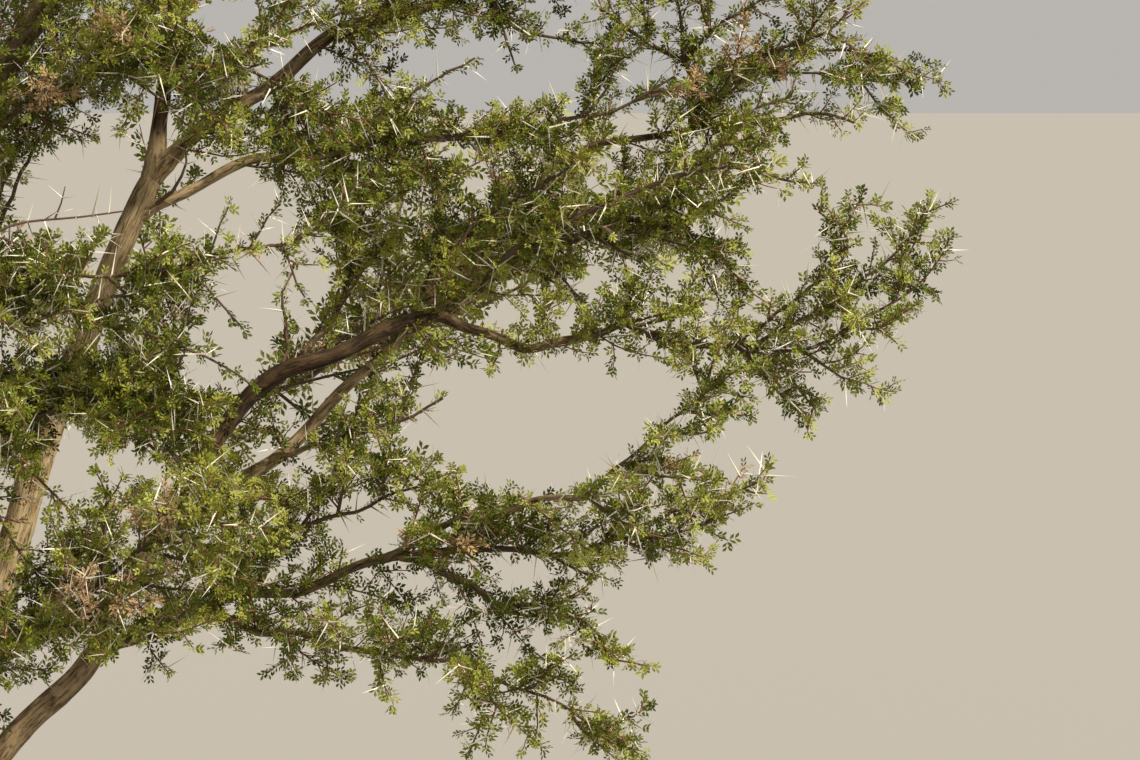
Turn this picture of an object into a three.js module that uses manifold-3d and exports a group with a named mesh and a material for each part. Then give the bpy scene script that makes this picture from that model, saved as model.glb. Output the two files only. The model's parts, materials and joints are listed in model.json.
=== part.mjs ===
// A thorny desert acacia with several stems from one low trunk and an open, rounded crown.
// Millimetres, +Z up. X runs to the right and Y away from the viewer.
// The origin is the middle of the flat cut under the trunk.
import * as THREE from "three";
import { mergeVertices } from "three/addons/utils/BufferGeometryUtils.js";
import Module from "manifold-3d";

const wasm = await Module();
wasm.setup();

// Trunk
const FORK_HEIGHT = 260;
const FORK_LEAN = 60;
const FORK_RADIUS = 84;
const WAIST_RADIUS = 76;
const FOOT_RADIUS = 132;
const FOOT_LOBES = 5;
const LOBE_DEPTH = 0.2;
const LOBE_TURN = 0.6;
const LEAN_POWER = 1.4;
const CROTCH_RISE = 34;
const CROTCH_SHARE = 0.55;
const STEM_SPREAD = 34;
const STEM_SINK = 20;
const TRUNK_SIDES = 18;
const TRUNK_LEVELS = [0, 25, 65, 120, 190];

// Crown, measured from the trunk's foot
const CROWN_RIGHT = 1970;
const CROWN_LEFT = 1700;
const CROWN_DEPTH = 1420;
const CROWN_MIDDLE = 1420;
const CROWN_TOP = 3050;
const CROWN_UNDERSIDE = 560;
const LOWEST_LEAF = 400;

// Limbs and twigs
const CLEARANCE = 0.4;
const THICK_LIMB = 20;
const THICK_LIMB_SIDES = 7;
const THIN_LIMB_SIDES = 5;
const LIMB_STEP = 150;
const SPINE_STEP = 170;
const LIMB_WAVER = 0.02;
const WAVER_TURNS = [5.2, 9.2, 13.2];
const STEEP = 0.95;
const NECK_LENGTH = 14;
const GOLDEN_ANGLE = 2.39996;
const LEAST_LEAN = 0.65;
const LEAN_RANGE = 0.45;
const LEAST_SIZE = 0.75;
const SIZE_RANGE = 0.4;
const TWIG_CROOK = 0.34;
const TWIG_LIFT = 0.05;
const TWIG_STEP = 85;
const SPINE_BUTT = 6;
const SPINE_GAIN = 0.01;
const SPINE_TIP = 3.2;
const TWIG_BUTT = 2.6;
const TWIG_TIP = 1.3;
const TIP_SINK = 14;
const BUD_GAP = 0.4;
const FIRST_BUD = 0.6;
const LEAST_BUD_GAP = 78;
const MOST_BUD_GAP = 160;
const SPRAY_GAP = 0.42;
const FIRST_SPRAY = 0.8;
const LEAST_SPRAY_GAP = 76;
const MOST_SPRAY_GAP = 140;
const SPRAY_LENGTH = 0.7;
const SHORTEST_SPRAY = 108;
const LONGEST_SPRAY = 320;
const SPRAY_SPACE = 0.8;
const SPRAY_WIDTH = 0.54;
const SPRAY_THICKNESS = 0.13;
const SPRAY_CHECKS = [0.3, 0.5, 0.75, 1];
const OTHER_TURNS = [0, 2.1, 4.2];
const SMALLER_SIZES = [1, 0.75, 0.55];
const BASE_FULLNESS = 0.6;
const FULLNESS_GAIN = 1.6;
const FULLNESS_LOSS = 0.5;
const BARE_MARGIN = 12;
const BARE_CHECKS = 12;

// Seeds
const LIMB_SEED = 71;
const FOLIAGE_SEED = 503;
const TWIG_INDEX = 100;
const TIP_INDEX = 7;

// The place that the crown is seen from, for the sizes taken by eye across it
const EYE_ACROSS = 1347.5;
const EYE_DISTANCE = 9000;
const EYE_HEIGHT = 1641;

// A point that looks to be this far across and this high beside the trunk, at its real depth
function seen([across, height, depth]) {
  const share = (EYE_DISTANCE + depth) / EYE_DISTANCE;
  return new THREE.Vector3(
    EYE_ACROSS + (across - EYE_ACROSS) * share,
    depth,
    EYE_HEIGHT + (height - EYE_HEIGHT) * share,
  );
}

// How far across and how high a point looks to be beside the trunk
function looks(point) {
  const share = EYE_DISTANCE / (EYE_DISTANCE + point.y);
  return [
    EYE_ACROSS + (point.x - EYE_ACROSS) * share,
    EYE_HEIGHT + (point.z - EYE_HEIGHT) * share,
  ];
}

// A point inside the crown's dome: its bearing and rise in degrees, and its share of the way out
function inCrown([bearing, rise, share]) {
  const turn = THREE.MathUtils.degToRad(bearing);
  const lift = THREE.MathUtils.degToRad(rise);
  const across = Math.cos(turn) * Math.cos(lift);
  const up = Math.sin(lift);
  const high = up > 0 ? CROWN_TOP - CROWN_MIDDLE : CROWN_MIDDLE - CROWN_UNDERSIDE;
  return new THREE.Vector3(
    across * (across > 0 ? CROWN_RIGHT : CROWN_LEFT) * share,
    Math.sin(turn) * Math.cos(lift) * CROWN_DEPTH * share,
    CROWN_MIDDLE + up * high * share,
  );
}

// Limbs that the front shows: what each springs from and where along it, its middle and its tip
// as [across, height, depth], its butt and tip radius, and the stretch that no leaf hides
const SEEN_LIMBS = [
  ["right_low_stem", "trunk", 0, [424, 592, -40], [640, 915, 0], 25, 17, [0.42, 0.62]],
  ["right_high_stem", "trunk", 0, [410, 1020, 60], [625, 1527, 80], 36, 21, [0.84, 1]],
  ["leader_stem", "trunk", 0, [420, 1735, 120], [640, 2130, 180], 46, 16, [0.44, 0.56]],
  ["front_stem", "trunk", 0, [20, 1000, -330], [-90, 1620, -600], 30, 14, null],
  ["middle_bough", "right_low_stem", 1, [854, 1170, 0], [1125, 1274, 0], 17, 12, [0.3, 0.9]],
  ["pale_bough", "right_low_stem", 0.97, [913, 1107, 120], [1120, 1335, 220], 14, 8, [0.3, 0.66]],
  ["reaching_bough", "middle_bough", 1, [1277, 1221, -40], [1430, 1255, -60], 10, 6, [0, 0.15]],
  ["rising_bough", "middle_bough", 0.95, [1190, 1322, 40], [1265, 1378, 60], 9, 6, null],
  ["inner_bough", "middle_bough", 0.44, [905, 1225, 60], [960, 1335, 110], 7, 5, null],
  ["pale_side_bough", "pale_bough", 0.36, [895, 1042, 20], [945, 1058, 10], 6, 5, null],
  ["far_bough", "pale_bough", 0.86, [1320, 1535, 380], [1559, 1597, 350], 8, 6, null],
  ["low_bough", "right_low_stem", 0.7, [794, 782, -150], [1143, 862, -260], 10, 7, null],
  ["low_side_bough", "low_bough", 0.3, [800, 850, -170], [850, 890, -190], 6, 5, null],
  ["drooping_bough", "low_bough", 0.3, [860, 712, -240], [1015, 680, -330], 7, 5, null],
  ["hanging_bough", "low_bough", 0.88, [1162, 805, -300], [1215, 766, -320], 6, 5, null],
  ["lower_right_bough", "low_bough", 0.84, [1250, 940, -350], [1370, 953, -400], 6, 5, null],
  ["high_leader", "right_high_stem", 1, [636, 1720, 110], [690, 2010, 140], 15, 10, [0, 0.3]],
  ["high_bough", "right_high_stem", 1, [930, 1745, 120], [1190, 1845, 170], 15, 9, [0.28, 0.55]],
  ["high_side_bough", "high_bough", 0.7, [1130, 1990, 260], [1190, 2180, 310], 8, 6, null],
  ["level_bough", "right_high_stem", 0.94, [880, 1557, 60], [1129, 1583, 40], 10, 7, [0.1, 0.45]],
  ["left_side_bough", "leader_stem", 0.66, [430, 1655, -60], [520, 1694, -80], 8, 5, null],
  ["front_low_bough", "front_stem", 0.25, [170, 610, -300], [330, 665, -440], 14, 9, null],
  ["front_middle_bough", "front_stem", 0.5, [140, 1035, -370], [300, 1065, -410], 11, 8, null],
  ["front_upper_bough", "front_stem", 0.66, [110, 1230, -420], [250, 1290, -430], 10, 7, null],
];

// Limbs round the rest of the crown, placed by bearing, rise and share of the crown
const ROUND_LIMBS = [
  ["left_stem", "trunk", 0, [174, -12, 0.26], [178, 36, 0.48], 40, 15],
  ["left_low_bough", "left_stem", 0.35, [188, -48, 0.36], [192, -38, 0.52], 18, 9],
  ["left_back_bough", "left_stem", 0.62, [158, -2, 0.36], [146, 4, 0.48], 16, 9],
  ["back_stem", "trunk", 0, [86, -6, 0.28], [92, 42, 0.46], 38, 13],
  ["back_right_bough", "back_stem", 0.3, [62, -48, 0.42], [50, -44, 0.56], 18, 9],
  ["back_left_bough", "back_stem", 0.62, [104, 2, 0.42], [112, 6, 0.52], 16, 9],
  ["front_left_bough", "front_stem", 0.55, [238, -2, 0.42], [224, 2, 0.52], 13, 9],
];

// Foliage that the front shows: its bough, the middle and tip of its own stem and its reach to the side
const SEEN_FOLIAGE = [
  ["right_tip_foliage", "reaching_bough", [1676, 1212, -90], [1955, 1325, -100], 165],
  ["right_middle_foliage", "rising_bough", [1440, 1432, 60], [1640, 1385, 60], 165],
  ["inner_right_foliage", "pale_bough", [1360, 1440, 200], [1640, 1560, 220], 170],
  ["inner_upper_foliage", "inner_bough", [985, 1440, 140], [1050, 1580, 170], 160],
  ["pale_side_foliage", "pale_side_bough", [1035, 1083, -10], [1125, 1128, -20], 90],
  ["far_upper_foliage", "far_bough", [1650, 1700, 350], [1890, 1722, 330], 190],
  ["low_foliage", "low_bough", [1375, 866, -250], [1605, 915, -260], 120],
  ["low_side_foliage", "low_side_bough", [980, 935, -220], [1110, 985, -240], 110],
  ["drooping_foliage", "drooping_bough", [1190, 650, -380], [1385, 552, -420], 135],
  ["hanging_foliage", "hanging_bough", [1310, 765, -340], [1405, 705, -350], 95],
  ["lower_right_foliage", "lower_right_bough", [1490, 1062, -430], [1600, 1150, -450], 130],
  ["high_right_foliage", "high_bough", [1370, 1862, 180], [1640, 1975, 190], 210],
  ["high_side_foliage", "high_side_bough", [1290, 2380, 350], [1480, 2500, 380], 410],
  ["level_foliage", "level_bough", [1354, 1610, 20], [1530, 1690, 10], 130],
  ["left_side_foliage", "left_side_bough", [650, 1715, -110], [930, 1625, -140], 180],
  ["front_low_foliage", "front_low_bough", [500, 800, -520], [720, 925, -560], 200],
  ["front_middle_foliage", "front_middle_bough", [520, 1120, -430], [730, 1130, -450], 190],
  ["front_upper_foliage", "front_upper_bough", [440, 1335, -440], [650, 1350, -450], 175],
  ["high_leader_foliage", "high_leader", [740, 2330, 150], [820, 2700, 160], 370],
  ["leader_foliage", "leader_stem", [560, 2520, 230], [330, 2900, 200], 500],
];

// Foliage round the rest of the crown
const ROUND_FOLIAGE = [
  ["front_stem_foliage", "front_stem", [246, 50, 0.68], [240, 58, 0.96], 520],
  ["left_stem_foliage", "left_stem", [176, 58, 0.7], [186, 52, 0.96], 580],
  ["left_low_foliage", "left_low_bough", [196, -30, 0.76], [200, -22, 0.96], 520],
  ["left_back_foliage", "left_back_bough", [144, 8, 0.72], [146, 14, 0.96], 560],
  ["back_stem_foliage", "back_stem", [98, 56, 0.72], [100, 48, 0.96], 580],
  ["back_right_foliage", "back_right_bough", [46, -24, 0.74], [46, -4, 0.94], 540],
  ["back_left_foliage", "back_left_bough", [100, 10, 0.74], [92, 12, 0.96], 560],
  ["front_left_foliage", "front_left_bough", [220, 8, 0.74], [220, 14, 0.96], 520],
];

// Openings right through the crown, as [across, height, half width, half height]
const OPENINGS = [
  [761, 1449, 114, 44],
  [481, 1492, 131, 79],
  [682, 1562, 21, 26],
  [1225, 1702, 166, 52],
  [1496, 1694, 52, 26],
  [744, 1786, 49, 42],
  [779, 1265, 66, 96],
  [726, 1169, 70, 38],
  [476, 1020, 38, 49],
  [882, 1317, 31, 44],
  [1295, 1072, 192, 105],
  [1155, 1134, 87, 52],
  [1487, 1151, 79, 35],
  [989, 924, 70, 44],
  [1277, 819, 44, 26],
  [1356, 1330, 79, 16],
  [1146, 1559, 35, 21],
  [1456, 1589, 35, 16],
  [1715, 1396, 61, 79],
  [770, 574, 262, 66],
];

// Seeded random numbers, the same for the same seed
const WRAP = 2 ** 32;

function draws(seed) {
  let state = seed % WRAP;
  const next = () => {
    state = (state * 1664525 + 1013904223) % WRAP;
    return state / WRAP;
  };
  next();
  next();
  return next;
}

function childSeed(seed, index) {
  return (seed * 69069 + index * 7919 + 1) % WRAP;
}

// A smooth, slightly wavering path from a start through a middle to a tip
function waverPath(start, middle, tip, seed, step) {
  const draw = draws(seed);
  const length = start.distanceTo(middle) + middle.distanceTo(tip);
  const halfway = start.distanceTo(middle) / length;
  const control = middle.clone()
    .addScaledVector(start, -((1 - halfway) ** 2))
    .addScaledVector(tip, -(halfway ** 2))
    .divideScalar(2 * halfway * (1 - halfway));
  const count = Math.max(4, Math.round(length / step));
  const phases = [draw(), draw(), draw()];
  const waver = length * LIMB_WAVER;
  const points = [];
  for (let k = 0; k <= count; k++) {
    const t = k / count;
    const swing = Math.sin(Math.PI * t) * waver;
    const [x, y, z] = phases.map((phase, axis) =>
      swing * Math.sin(WAVER_TURNS[axis] * t + phase * 2 * Math.PI),
    );
    points.push(
      start.clone().multiplyScalar((1 - t) * (1 - t))
        .addScaledVector(control, 2 * t * (1 - t))
        .addScaledVector(tip, t * t)
        .add(new THREE.Vector3(x, y, z)),
    );
  }
  return points;
}

function tangents(points) {
  return points.map((point, k) => {
    const before = points[Math.max(0, k - 1)];
    const after = points[Math.min(points.length - 1, k + 1)];
    return after.clone().sub(before).normalize();
  });
}

function lengthOf(points) {
  return points.slice(1).reduce((sum, point, k) => sum + point.distanceTo(points[k]), 0);
}

// The point and heading at a share of a path's points
function along(points, share) {
  const place = share * (points.length - 1);
  const k = Math.min(points.length - 2, Math.floor(place));
  return {
    point: points[k].clone().lerp(points[k + 1], place - k),
    heading: points[k + 1].clone().sub(points[k]).normalize(),
  };
}

// Two directions square to a heading and to each other
function sideways(heading) {
  const flat = Math.abs(heading.z) > STEEP ? new THREE.Vector3(1, 0, 0) : new THREE.Vector3(0, 0, 1);
  const right = heading.clone().cross(flat).normalize();
  return [right, right.clone().cross(heading)];
}

function solidOf(geometry) {
  geometry.deleteAttribute("normal");
  geometry.deleteAttribute("uv");
  const merged = mergeVertices(geometry, 1e-4);
  return {
    geometry: merged,
    make: () => new wasm.Manifold(new wasm.Mesh({
      numProp: 3,
      vertProperties: merged.attributes.position.array,
      triVerts: new Uint32Array(merged.index.array),
    })),
  };
}

// A closed tapering tube round a path, as a bent cylinder
function tube(points, radii, sides, firstHeading = null) {
  const rings = points.length - 1;
  const { geometry, make } = solidOf(new THREE.CylinderGeometry(1, 1, 1, sides, rings));
  const headings = tangents(points);
  if (firstHeading) headings[0] = firstHeading;
  const frames = [];
  let [normal] = sideways(headings[0]);
  for (const heading of headings) {
    normal = normal.clone().addScaledVector(heading, -normal.dot(heading)).normalize();
    frames.push([normal, normal.clone().cross(heading)]);
  }
  const place = geometry.attributes.position;
  for (let v = 0; v < place.count; v++) {
    const ring = Math.round((place.getY(v) + 0.5) * rings);
    const [first, second] = frames[ring];
    const at = points[ring].clone()
      .addScaledVector(first, place.getX(v) * radii[ring])
      .addScaledVector(second, place.getZ(v) * radii[ring]);
    place.setXYZ(v, at.x, at.y, at.z);
  }
  return make();
}

function largestBody(solid) {
  return solid.decompose().reduce((largest, body) => (body.volume() > largest.volume() ? body : largest));
}

function taper(count, butt, tip) {
  return Array.from({ length: count }, (_, k) => butt + ((tip - butt) * k) / (count - 1));
}

// A flat eight-sided leaf that stands for a leafy spray
function sprayLeaf(root, heading, roll, length) {
  const [right, up] = sideways(heading);
  const across = right.clone().multiplyScalar(Math.cos(roll)).addScaledVector(up, Math.sin(roll));
  const { geometry, make } = solidOf(new THREE.OctahedronGeometry(1, 0));
  const middle = root.clone().addScaledVector(heading, length / 2);
  const basis = new THREE.Matrix4().makeBasis(
    heading.clone().multiplyScalar(length / 2),
    across.clone().multiplyScalar((length * SPRAY_WIDTH) / 2),
    heading.clone().cross(across).multiplyScalar((length * SPRAY_THICKNESS) / 2),
  );
  geometry.applyMatrix4(basis.setPosition(middle));
  return make();
}

// The trunk, from its lobed foot to the low fork that the stems leave
function trunkSolid(grow) {
  const levels = [...TRUNK_LEVELS, FORK_HEIGHT, FORK_HEIGHT + CROTCH_RISE];
  const rings = levels.length - 1;
  const { geometry, make } = solidOf(new THREE.CylinderGeometry(1, 1, 1, TRUNK_SIDES, rings));
  const place = geometry.attributes.position;
  for (let v = 0; v < place.count; v++) {
    const ring = Math.round((place.getY(v) + 0.5) * rings);
    const rise = Math.min(1, levels[ring] / FORK_HEIGHT);
    const turn = Math.atan2(place.getZ(v), place.getX(v));
    const flare = (1 - rise) ** 3;
    const lobes = 1 + LOBE_DEPTH * flare * Math.cos(FOOT_LOBES * turn + LOBE_TURN);
    const swell = THREE.MathUtils.lerp(WAIST_RADIUS, FORK_RADIUS, rise ** 2);
    const dome = ring === rings ? CROTCH_SHARE : 1;
    const radius = ((swell + (FOOT_RADIUS - WAIST_RADIUS) * flare) * lobes + grow) * dome;
    const lean = FORK_LEAN * rise ** LEAN_POWER;
    const top = ring === rings ? grow : 0;
    place.setXYZ(
      v,
      lean + place.getX(v) * radius,
      -place.getZ(v) * radius,
      levels[ring] + top,
    );
  }
  return make();
}

// Every limb by name, with its path and radii
const limbs = new Map();

function addLimb([name, parent, share, middle, tip, butt, end, bare], place) {
  const middlePoint = place(middle);
  let start;
  if (parent === "trunk") {
    const turn = Math.atan2(middlePoint.y, middlePoint.x - FORK_LEAN);
    start = new THREE.Vector3(
      FORK_LEAN + STEM_SPREAD * Math.cos(turn),
      STEM_SPREAD * Math.sin(turn),
      FORK_HEIGHT - STEM_SINK,
    );
  } else {
    start = along(limbs.get(parent).points, share).point;
  }
  const points = waverPath(start, middlePoint, place(tip), childSeed(LIMB_SEED, limbs.size), LIMB_STEP);
  limbs.set(name, { name, points, radii: taper(points.length, butt, end), bare });
}

SEEN_LIMBS.forEach((row) => addLimb(row, seen));
ROUND_LIMBS.forEach((row) => addLimb(row, inCrown));

function limbSolid({ points, radii }, grow) {
  const headings = tangents(points);
  const last = points.length - 1;
  const stretched = points.map((point, k) => {
    const push = k === last ? grow : k === 0 ? -grow : 0;
    return point.clone().addScaledVector(headings[k], push);
  });
  const sides = radii[0] > THICK_LIMB ? THICK_LIMB_SIDES : THIN_LIMB_SIDES;
  return tube(stretched, radii.map((radius) => radius + grow), sides);
}

// Every mass of foliage, with its own stem from its bough's tip
const masses = [];

function addMass([name, bough, middle, tip, reach], place) {
  const { points, radii } = limbs.get(bough);
  const end = points[points.length - 1];
  const heading = tangents(points)[points.length - 1];
  const neck = end.clone().addScaledVector(heading, NECK_LENGTH);
  const seed = childSeed(FOLIAGE_SEED, masses.length);
  const spine = waverPath(neck, place(middle), place(tip), seed, SPINE_STEP);
  spine.unshift(end.clone().addScaledVector(heading, CLEARANCE));
  masses.push({
    name,
    seed,
    spine,
    heading,
    reach,
    taken: [],
    butt: Math.min(SPINE_BUTT + reach * SPINE_GAIN, radii[radii.length - 1]),
  });
}

SEEN_FOLIAGE.forEach((row) => addMass(row, seen));
ROUND_FOLIAGE.forEach((row) => addMass(row, inCrown));

// Tests of a point's room
function segmentsOf(points) {
  return points.slice(1).map((point, k) => new THREE.Line3(points[k], point));
}

const limbSegments = [...limbs.values()].flatMap(({ points, radii }) =>
  segmentsOf(points).map((line, k) => ({ line, radius: radii[k] })),
);
limbSegments.push({
  line: new THREE.Line3(new THREE.Vector3(), new THREE.Vector3(FORK_LEAN, 0, FORK_HEIGHT)),
  radius: FOOT_RADIUS,
});
masses.forEach((mass) => {
  mass.segments = segmentsOf(mass.spine);
});

const nearest = new THREE.Vector3();

function distanceTo(line, point) {
  return line.closestPointToPoint(point, true, nearest).distanceTo(point);
}

function distanceToMass(mass, point) {
  return Math.min(...mass.segments.map((line) => distanceTo(line, point)));
}

// Limbs that show bare: their stretches as they look from the front
const bareStretches = [...limbs.values()]
  .filter(({ bare }) => bare)
  .flatMap(({ points, radii, bare }) =>
    Array.from({ length: BARE_CHECKS + 1 }, (_, k) => {
      const { point } = along(points, THREE.MathUtils.lerp(bare[0], bare[1], k / BARE_CHECKS));
      return { at: looks(point), depth: point.y, radius: radii[radii.length - 1] + BARE_MARGIN };
    }),
  );

function inOpening([across, height]) {
  return OPENINGS.some(
    ([x, z, wide, high]) => ((across - x) / wide) ** 2 + ((height - z) / high) ** 2 < 1,
  );
}

function hidesLimb(point, [across, height]) {
  return bareStretches.some(
    ({ at, depth, radius }) => point.y < depth && Math.hypot(across - at[0], height - at[1]) < radius,
  );
}

// True where a point of a mass has this much room round it
function hasRoom(mass, point, room) {
  const look = looks(point);
  if (point.z < LOWEST_LEAF || inOpening(look) || hidesLimb(point, look)) return false;
  if (limbSegments.some(({ line, radius }) => distanceTo(line, point) < radius + room)) return false;
  const own = distanceToMass(mass, point);
  return masses.every((other) => other === mass || distanceToMass(other, point) > own + 2 * room);
}

// A crooked twig that lifts a little as it grows
function twigPath(from, heading, length, seed) {
  const draw = draws(seed);
  const count = Math.max(2, Math.round(length / TWIG_STEP));
  const points = [from.clone()];
  const ahead = heading.clone();
  for (let k = 0; k < count; k++) {
    const [x, y, z] = [draw(), draw(), draw()].map((value) => (value - 0.5) * TWIG_CROOK);
    ahead.add(new THREE.Vector3(x, y, z + TWIG_LIFT)).normalize();
    points.push(points[k].clone().addScaledVector(ahead, length / count));
  }
  return points;
}

// The buds along a path: where each leaves it, its share along, its size, its seed
// and its heading when the bud is turned round the path
function budsAlong(points, seed, gap, first) {
  const length = lengthOf(points);
  const buds = [];
  for (let k = 0; first + k * gap < length; k++) {
    const draw = draws(childSeed(seed, k));
    const [roll, tilt, size] = [draw(), draw(), draw()];
    const share = (first + k * gap) / length;
    const { point, heading } = along(points, share);
    const [right, up] = sideways(heading);
    const lean = LEAST_LEAN + LEAN_RANGE * tilt;
    buds.push({
      point,
      share,
      size: LEAST_SIZE + SIZE_RANGE * size,
      seed: childSeed(seed, k + TWIG_INDEX),
      headingAt: (turned) => {
        const turn = k * GOLDEN_ANGLE + roll + turned;
        return heading.clone().multiplyScalar(Math.cos(lean))
          .addScaledVector(right, Math.sin(lean) * Math.cos(turn))
          .addScaledVector(up, Math.sin(lean) * Math.sin(turn));
      },
    });
  }
  return buds;
}

// How far the side twigs reach along a mass's stem, fullest before its middle
function fullness(share) {
  return Math.min(1, BASE_FULLNESS + FULLNESS_GAIN * share) * (1 - FULLNESS_LOSS * share ** 2);
}

// The longest start of a twig that stays in its mass's room
function keptTwig(mass, bud, length) {
  let best = [];
  for (const turned of OTHER_TURNS) {
    const path = twigPath(bud.point, bud.headingAt(turned), length, bud.seed);
    let kept = 1;
    while (kept < path.length && hasRoom(mass, path[kept], TWIG_BUTT)) kept += 1;
    if (kept > Math.max(1, best.length)) best = path.slice(0, kept);
    if (kept === path.length) break;
  }
  return best;
}

// The room that a spray takes, as balls along it
function ballsOf(root, heading, length) {
  return SPRAY_CHECKS.map((share) => ({
    middle: root.clone().addScaledVector(heading, length * share),
    radius: length * SPRAY_WIDTH * Math.min(share, 1 - share) + 1,
  }));
}

// The leaf for a spray at a bud, turned or made smaller where there is no room for it
function sprayAt(mass, bud, length) {
  const roll = draws(bud.seed)() * Math.PI;
  for (const size of SMALLER_SIZES) {
    for (const turned of OTHER_TURNS) {
      const heading = bud.headingAt(turned);
      const balls = ballsOf(bud.point, heading, length * size);
      const clear = balls.every(
        ({ middle, radius }) =>
          mass.taken.every(
            (ball) => ball.middle.distanceTo(middle) > (ball.radius + radius) * SPRAY_SPACE,
          ) && hasRoom(mass, middle, radius),
      );
      if (clear) {
        mass.taken.push(...balls);
        return [sprayLeaf(bud.point, heading, roll, length * size)];
      }
    }
  }
  return [];
}

function tipBud(path, seed) {
  const { point, heading } = along(path, 1);
  return { point: point.addScaledVector(heading, -TIP_SINK), seed, headingAt: () => heading };
}

function massSolid(mass) {
  const { clamp } = THREE.MathUtils;
  const { spine, reach, seed } = mass;
  const pieces = [tube(spine, taper(spine.length, mass.butt, SPINE_TIP), 3, mass.heading)];
  const gap = clamp(reach * BUD_GAP, LEAST_BUD_GAP, MOST_BUD_GAP);
  const buds = budsAlong(spine, seed, gap, gap * FIRST_BUD).map((bud) => {
    const length = reach * fullness(bud.share) * bud.size;
    const twig = keptTwig(mass, bud, length);
    mass.taken.push(...twig.slice(1).map((middle) => ({ middle, radius: TWIG_BUTT })));
    return { bud, length, twig, spray: clamp(length * SPRAY_LENGTH, SHORTEST_SPRAY, LONGEST_SPRAY) };
  });
  for (const { bud, length, twig, spray } of buds) {
    if (twig.length < 2) {
      pieces.push(...sprayAt(mass, bud, spray));
      continue;
    }
    mass.taken = mass.taken.filter(({ middle }) => middle !== twig[twig.length - 1]);
    pieces.push(tube(twig, taper(twig.length, TWIG_BUTT, TWIG_TIP), 3));
    pieces.push(...sprayAt(mass, tipBud(twig, childSeed(bud.seed, TIP_INDEX)), spray));
    const sprayGap = clamp(length * SPRAY_GAP, LEAST_SPRAY_GAP, MOST_SPRAY_GAP);
    for (const side of budsAlong(twig, bud.seed, sprayGap, sprayGap * FIRST_SPRAY)) {
      pieces.push(...sprayAt(mass, side, spray * side.size));
    }
  }
  pieces.push(...sprayAt(mass, tipBud(spine, seed), Math.min(LONGEST_SPRAY, reach * SPRAY_LENGTH)));
  return largestBody(wasm.Manifold.union(pieces));
}

// Colours, roughness and the finished group
const BARK = new THREE.MeshStandardMaterial({ color: 0x6f6152, roughness: 0.9, metalness: 0 });
const LEAF = new THREE.MeshStandardMaterial({ color: 0x5b6b2c, roughness: 0.75, metalness: 0 });

function meshOf(name, solid, material) {
  const { vertProperties, triVerts } = solid.getMesh();
  const geometry = new THREE.BufferGeometry();
  geometry.setAttribute("position", new THREE.BufferAttribute(vertProperties, 3));
  geometry.setIndex(new THREE.BufferAttribute(triVerts, 1));
  geometry.computeVertexNormals();
  const mesh = new THREE.Mesh(geometry, material.clone());
  mesh.name = name;
  return mesh;
}

const acacia = new THREE.Group();
acacia.name = "acacia";
acacia.add(meshOf("trunk", trunkSolid(0), BARK));

const cutters = [trunkSolid(CLEARANCE)];
for (const limb of limbs.values()) {
  const solid = largestBody(limbSolid(limb, 0).subtract(wasm.Manifold.union(cutters)));
  acacia.add(meshOf(limb.name, solid, BARK));
  cutters.push(limbSolid(limb, CLEARANCE));
}
for (const mass of masses) {
  acacia.add(meshOf(mass.name, massSolid(mass), LEAF));
}

export default acacia;
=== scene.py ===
import json
import math
from types import SimpleNamespace

import bpy
import numpy as np
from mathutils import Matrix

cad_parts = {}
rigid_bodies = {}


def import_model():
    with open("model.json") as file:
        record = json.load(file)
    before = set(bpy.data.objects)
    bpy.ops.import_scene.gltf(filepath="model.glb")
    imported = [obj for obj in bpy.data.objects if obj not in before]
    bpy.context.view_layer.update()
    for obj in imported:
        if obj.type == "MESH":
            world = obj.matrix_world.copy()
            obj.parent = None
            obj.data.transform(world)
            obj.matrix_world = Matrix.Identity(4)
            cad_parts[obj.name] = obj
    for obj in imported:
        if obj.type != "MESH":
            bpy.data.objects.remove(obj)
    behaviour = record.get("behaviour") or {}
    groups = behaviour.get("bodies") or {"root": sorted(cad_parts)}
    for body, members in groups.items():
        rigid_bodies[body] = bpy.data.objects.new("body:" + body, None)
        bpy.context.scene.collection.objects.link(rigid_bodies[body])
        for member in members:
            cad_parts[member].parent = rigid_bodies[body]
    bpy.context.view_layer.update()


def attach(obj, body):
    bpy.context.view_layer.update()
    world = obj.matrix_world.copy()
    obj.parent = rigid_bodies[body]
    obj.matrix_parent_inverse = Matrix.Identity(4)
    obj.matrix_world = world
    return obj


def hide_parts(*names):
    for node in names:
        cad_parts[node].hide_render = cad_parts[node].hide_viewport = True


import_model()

MILLIMETRE = 0.001

# Trunk
FORK_HEIGHT = 260
FORK_LEAN = 60
FORK_RADIUS = 84
WAIST_RADIUS = 76
FOOT_RADIUS = 132
FOOT_LOBES = 5
LOBE_DEPTH = 0.2
LOBE_TURN = 0.6
LEAN_POWER = 1.4
CROTCH_RISE = 34
STEM_SPREAD = 34
STEM_SINK = 20

# Crown
CROWN_RIGHT = 1970
CROWN_LEFT = 1700
CROWN_DEPTH = 1420
CROWN_MIDDLE = 1420
CROWN_TOP = 3050
CROWN_UNDERSIDE = 560
LOWEST_LEAF = 400

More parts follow.
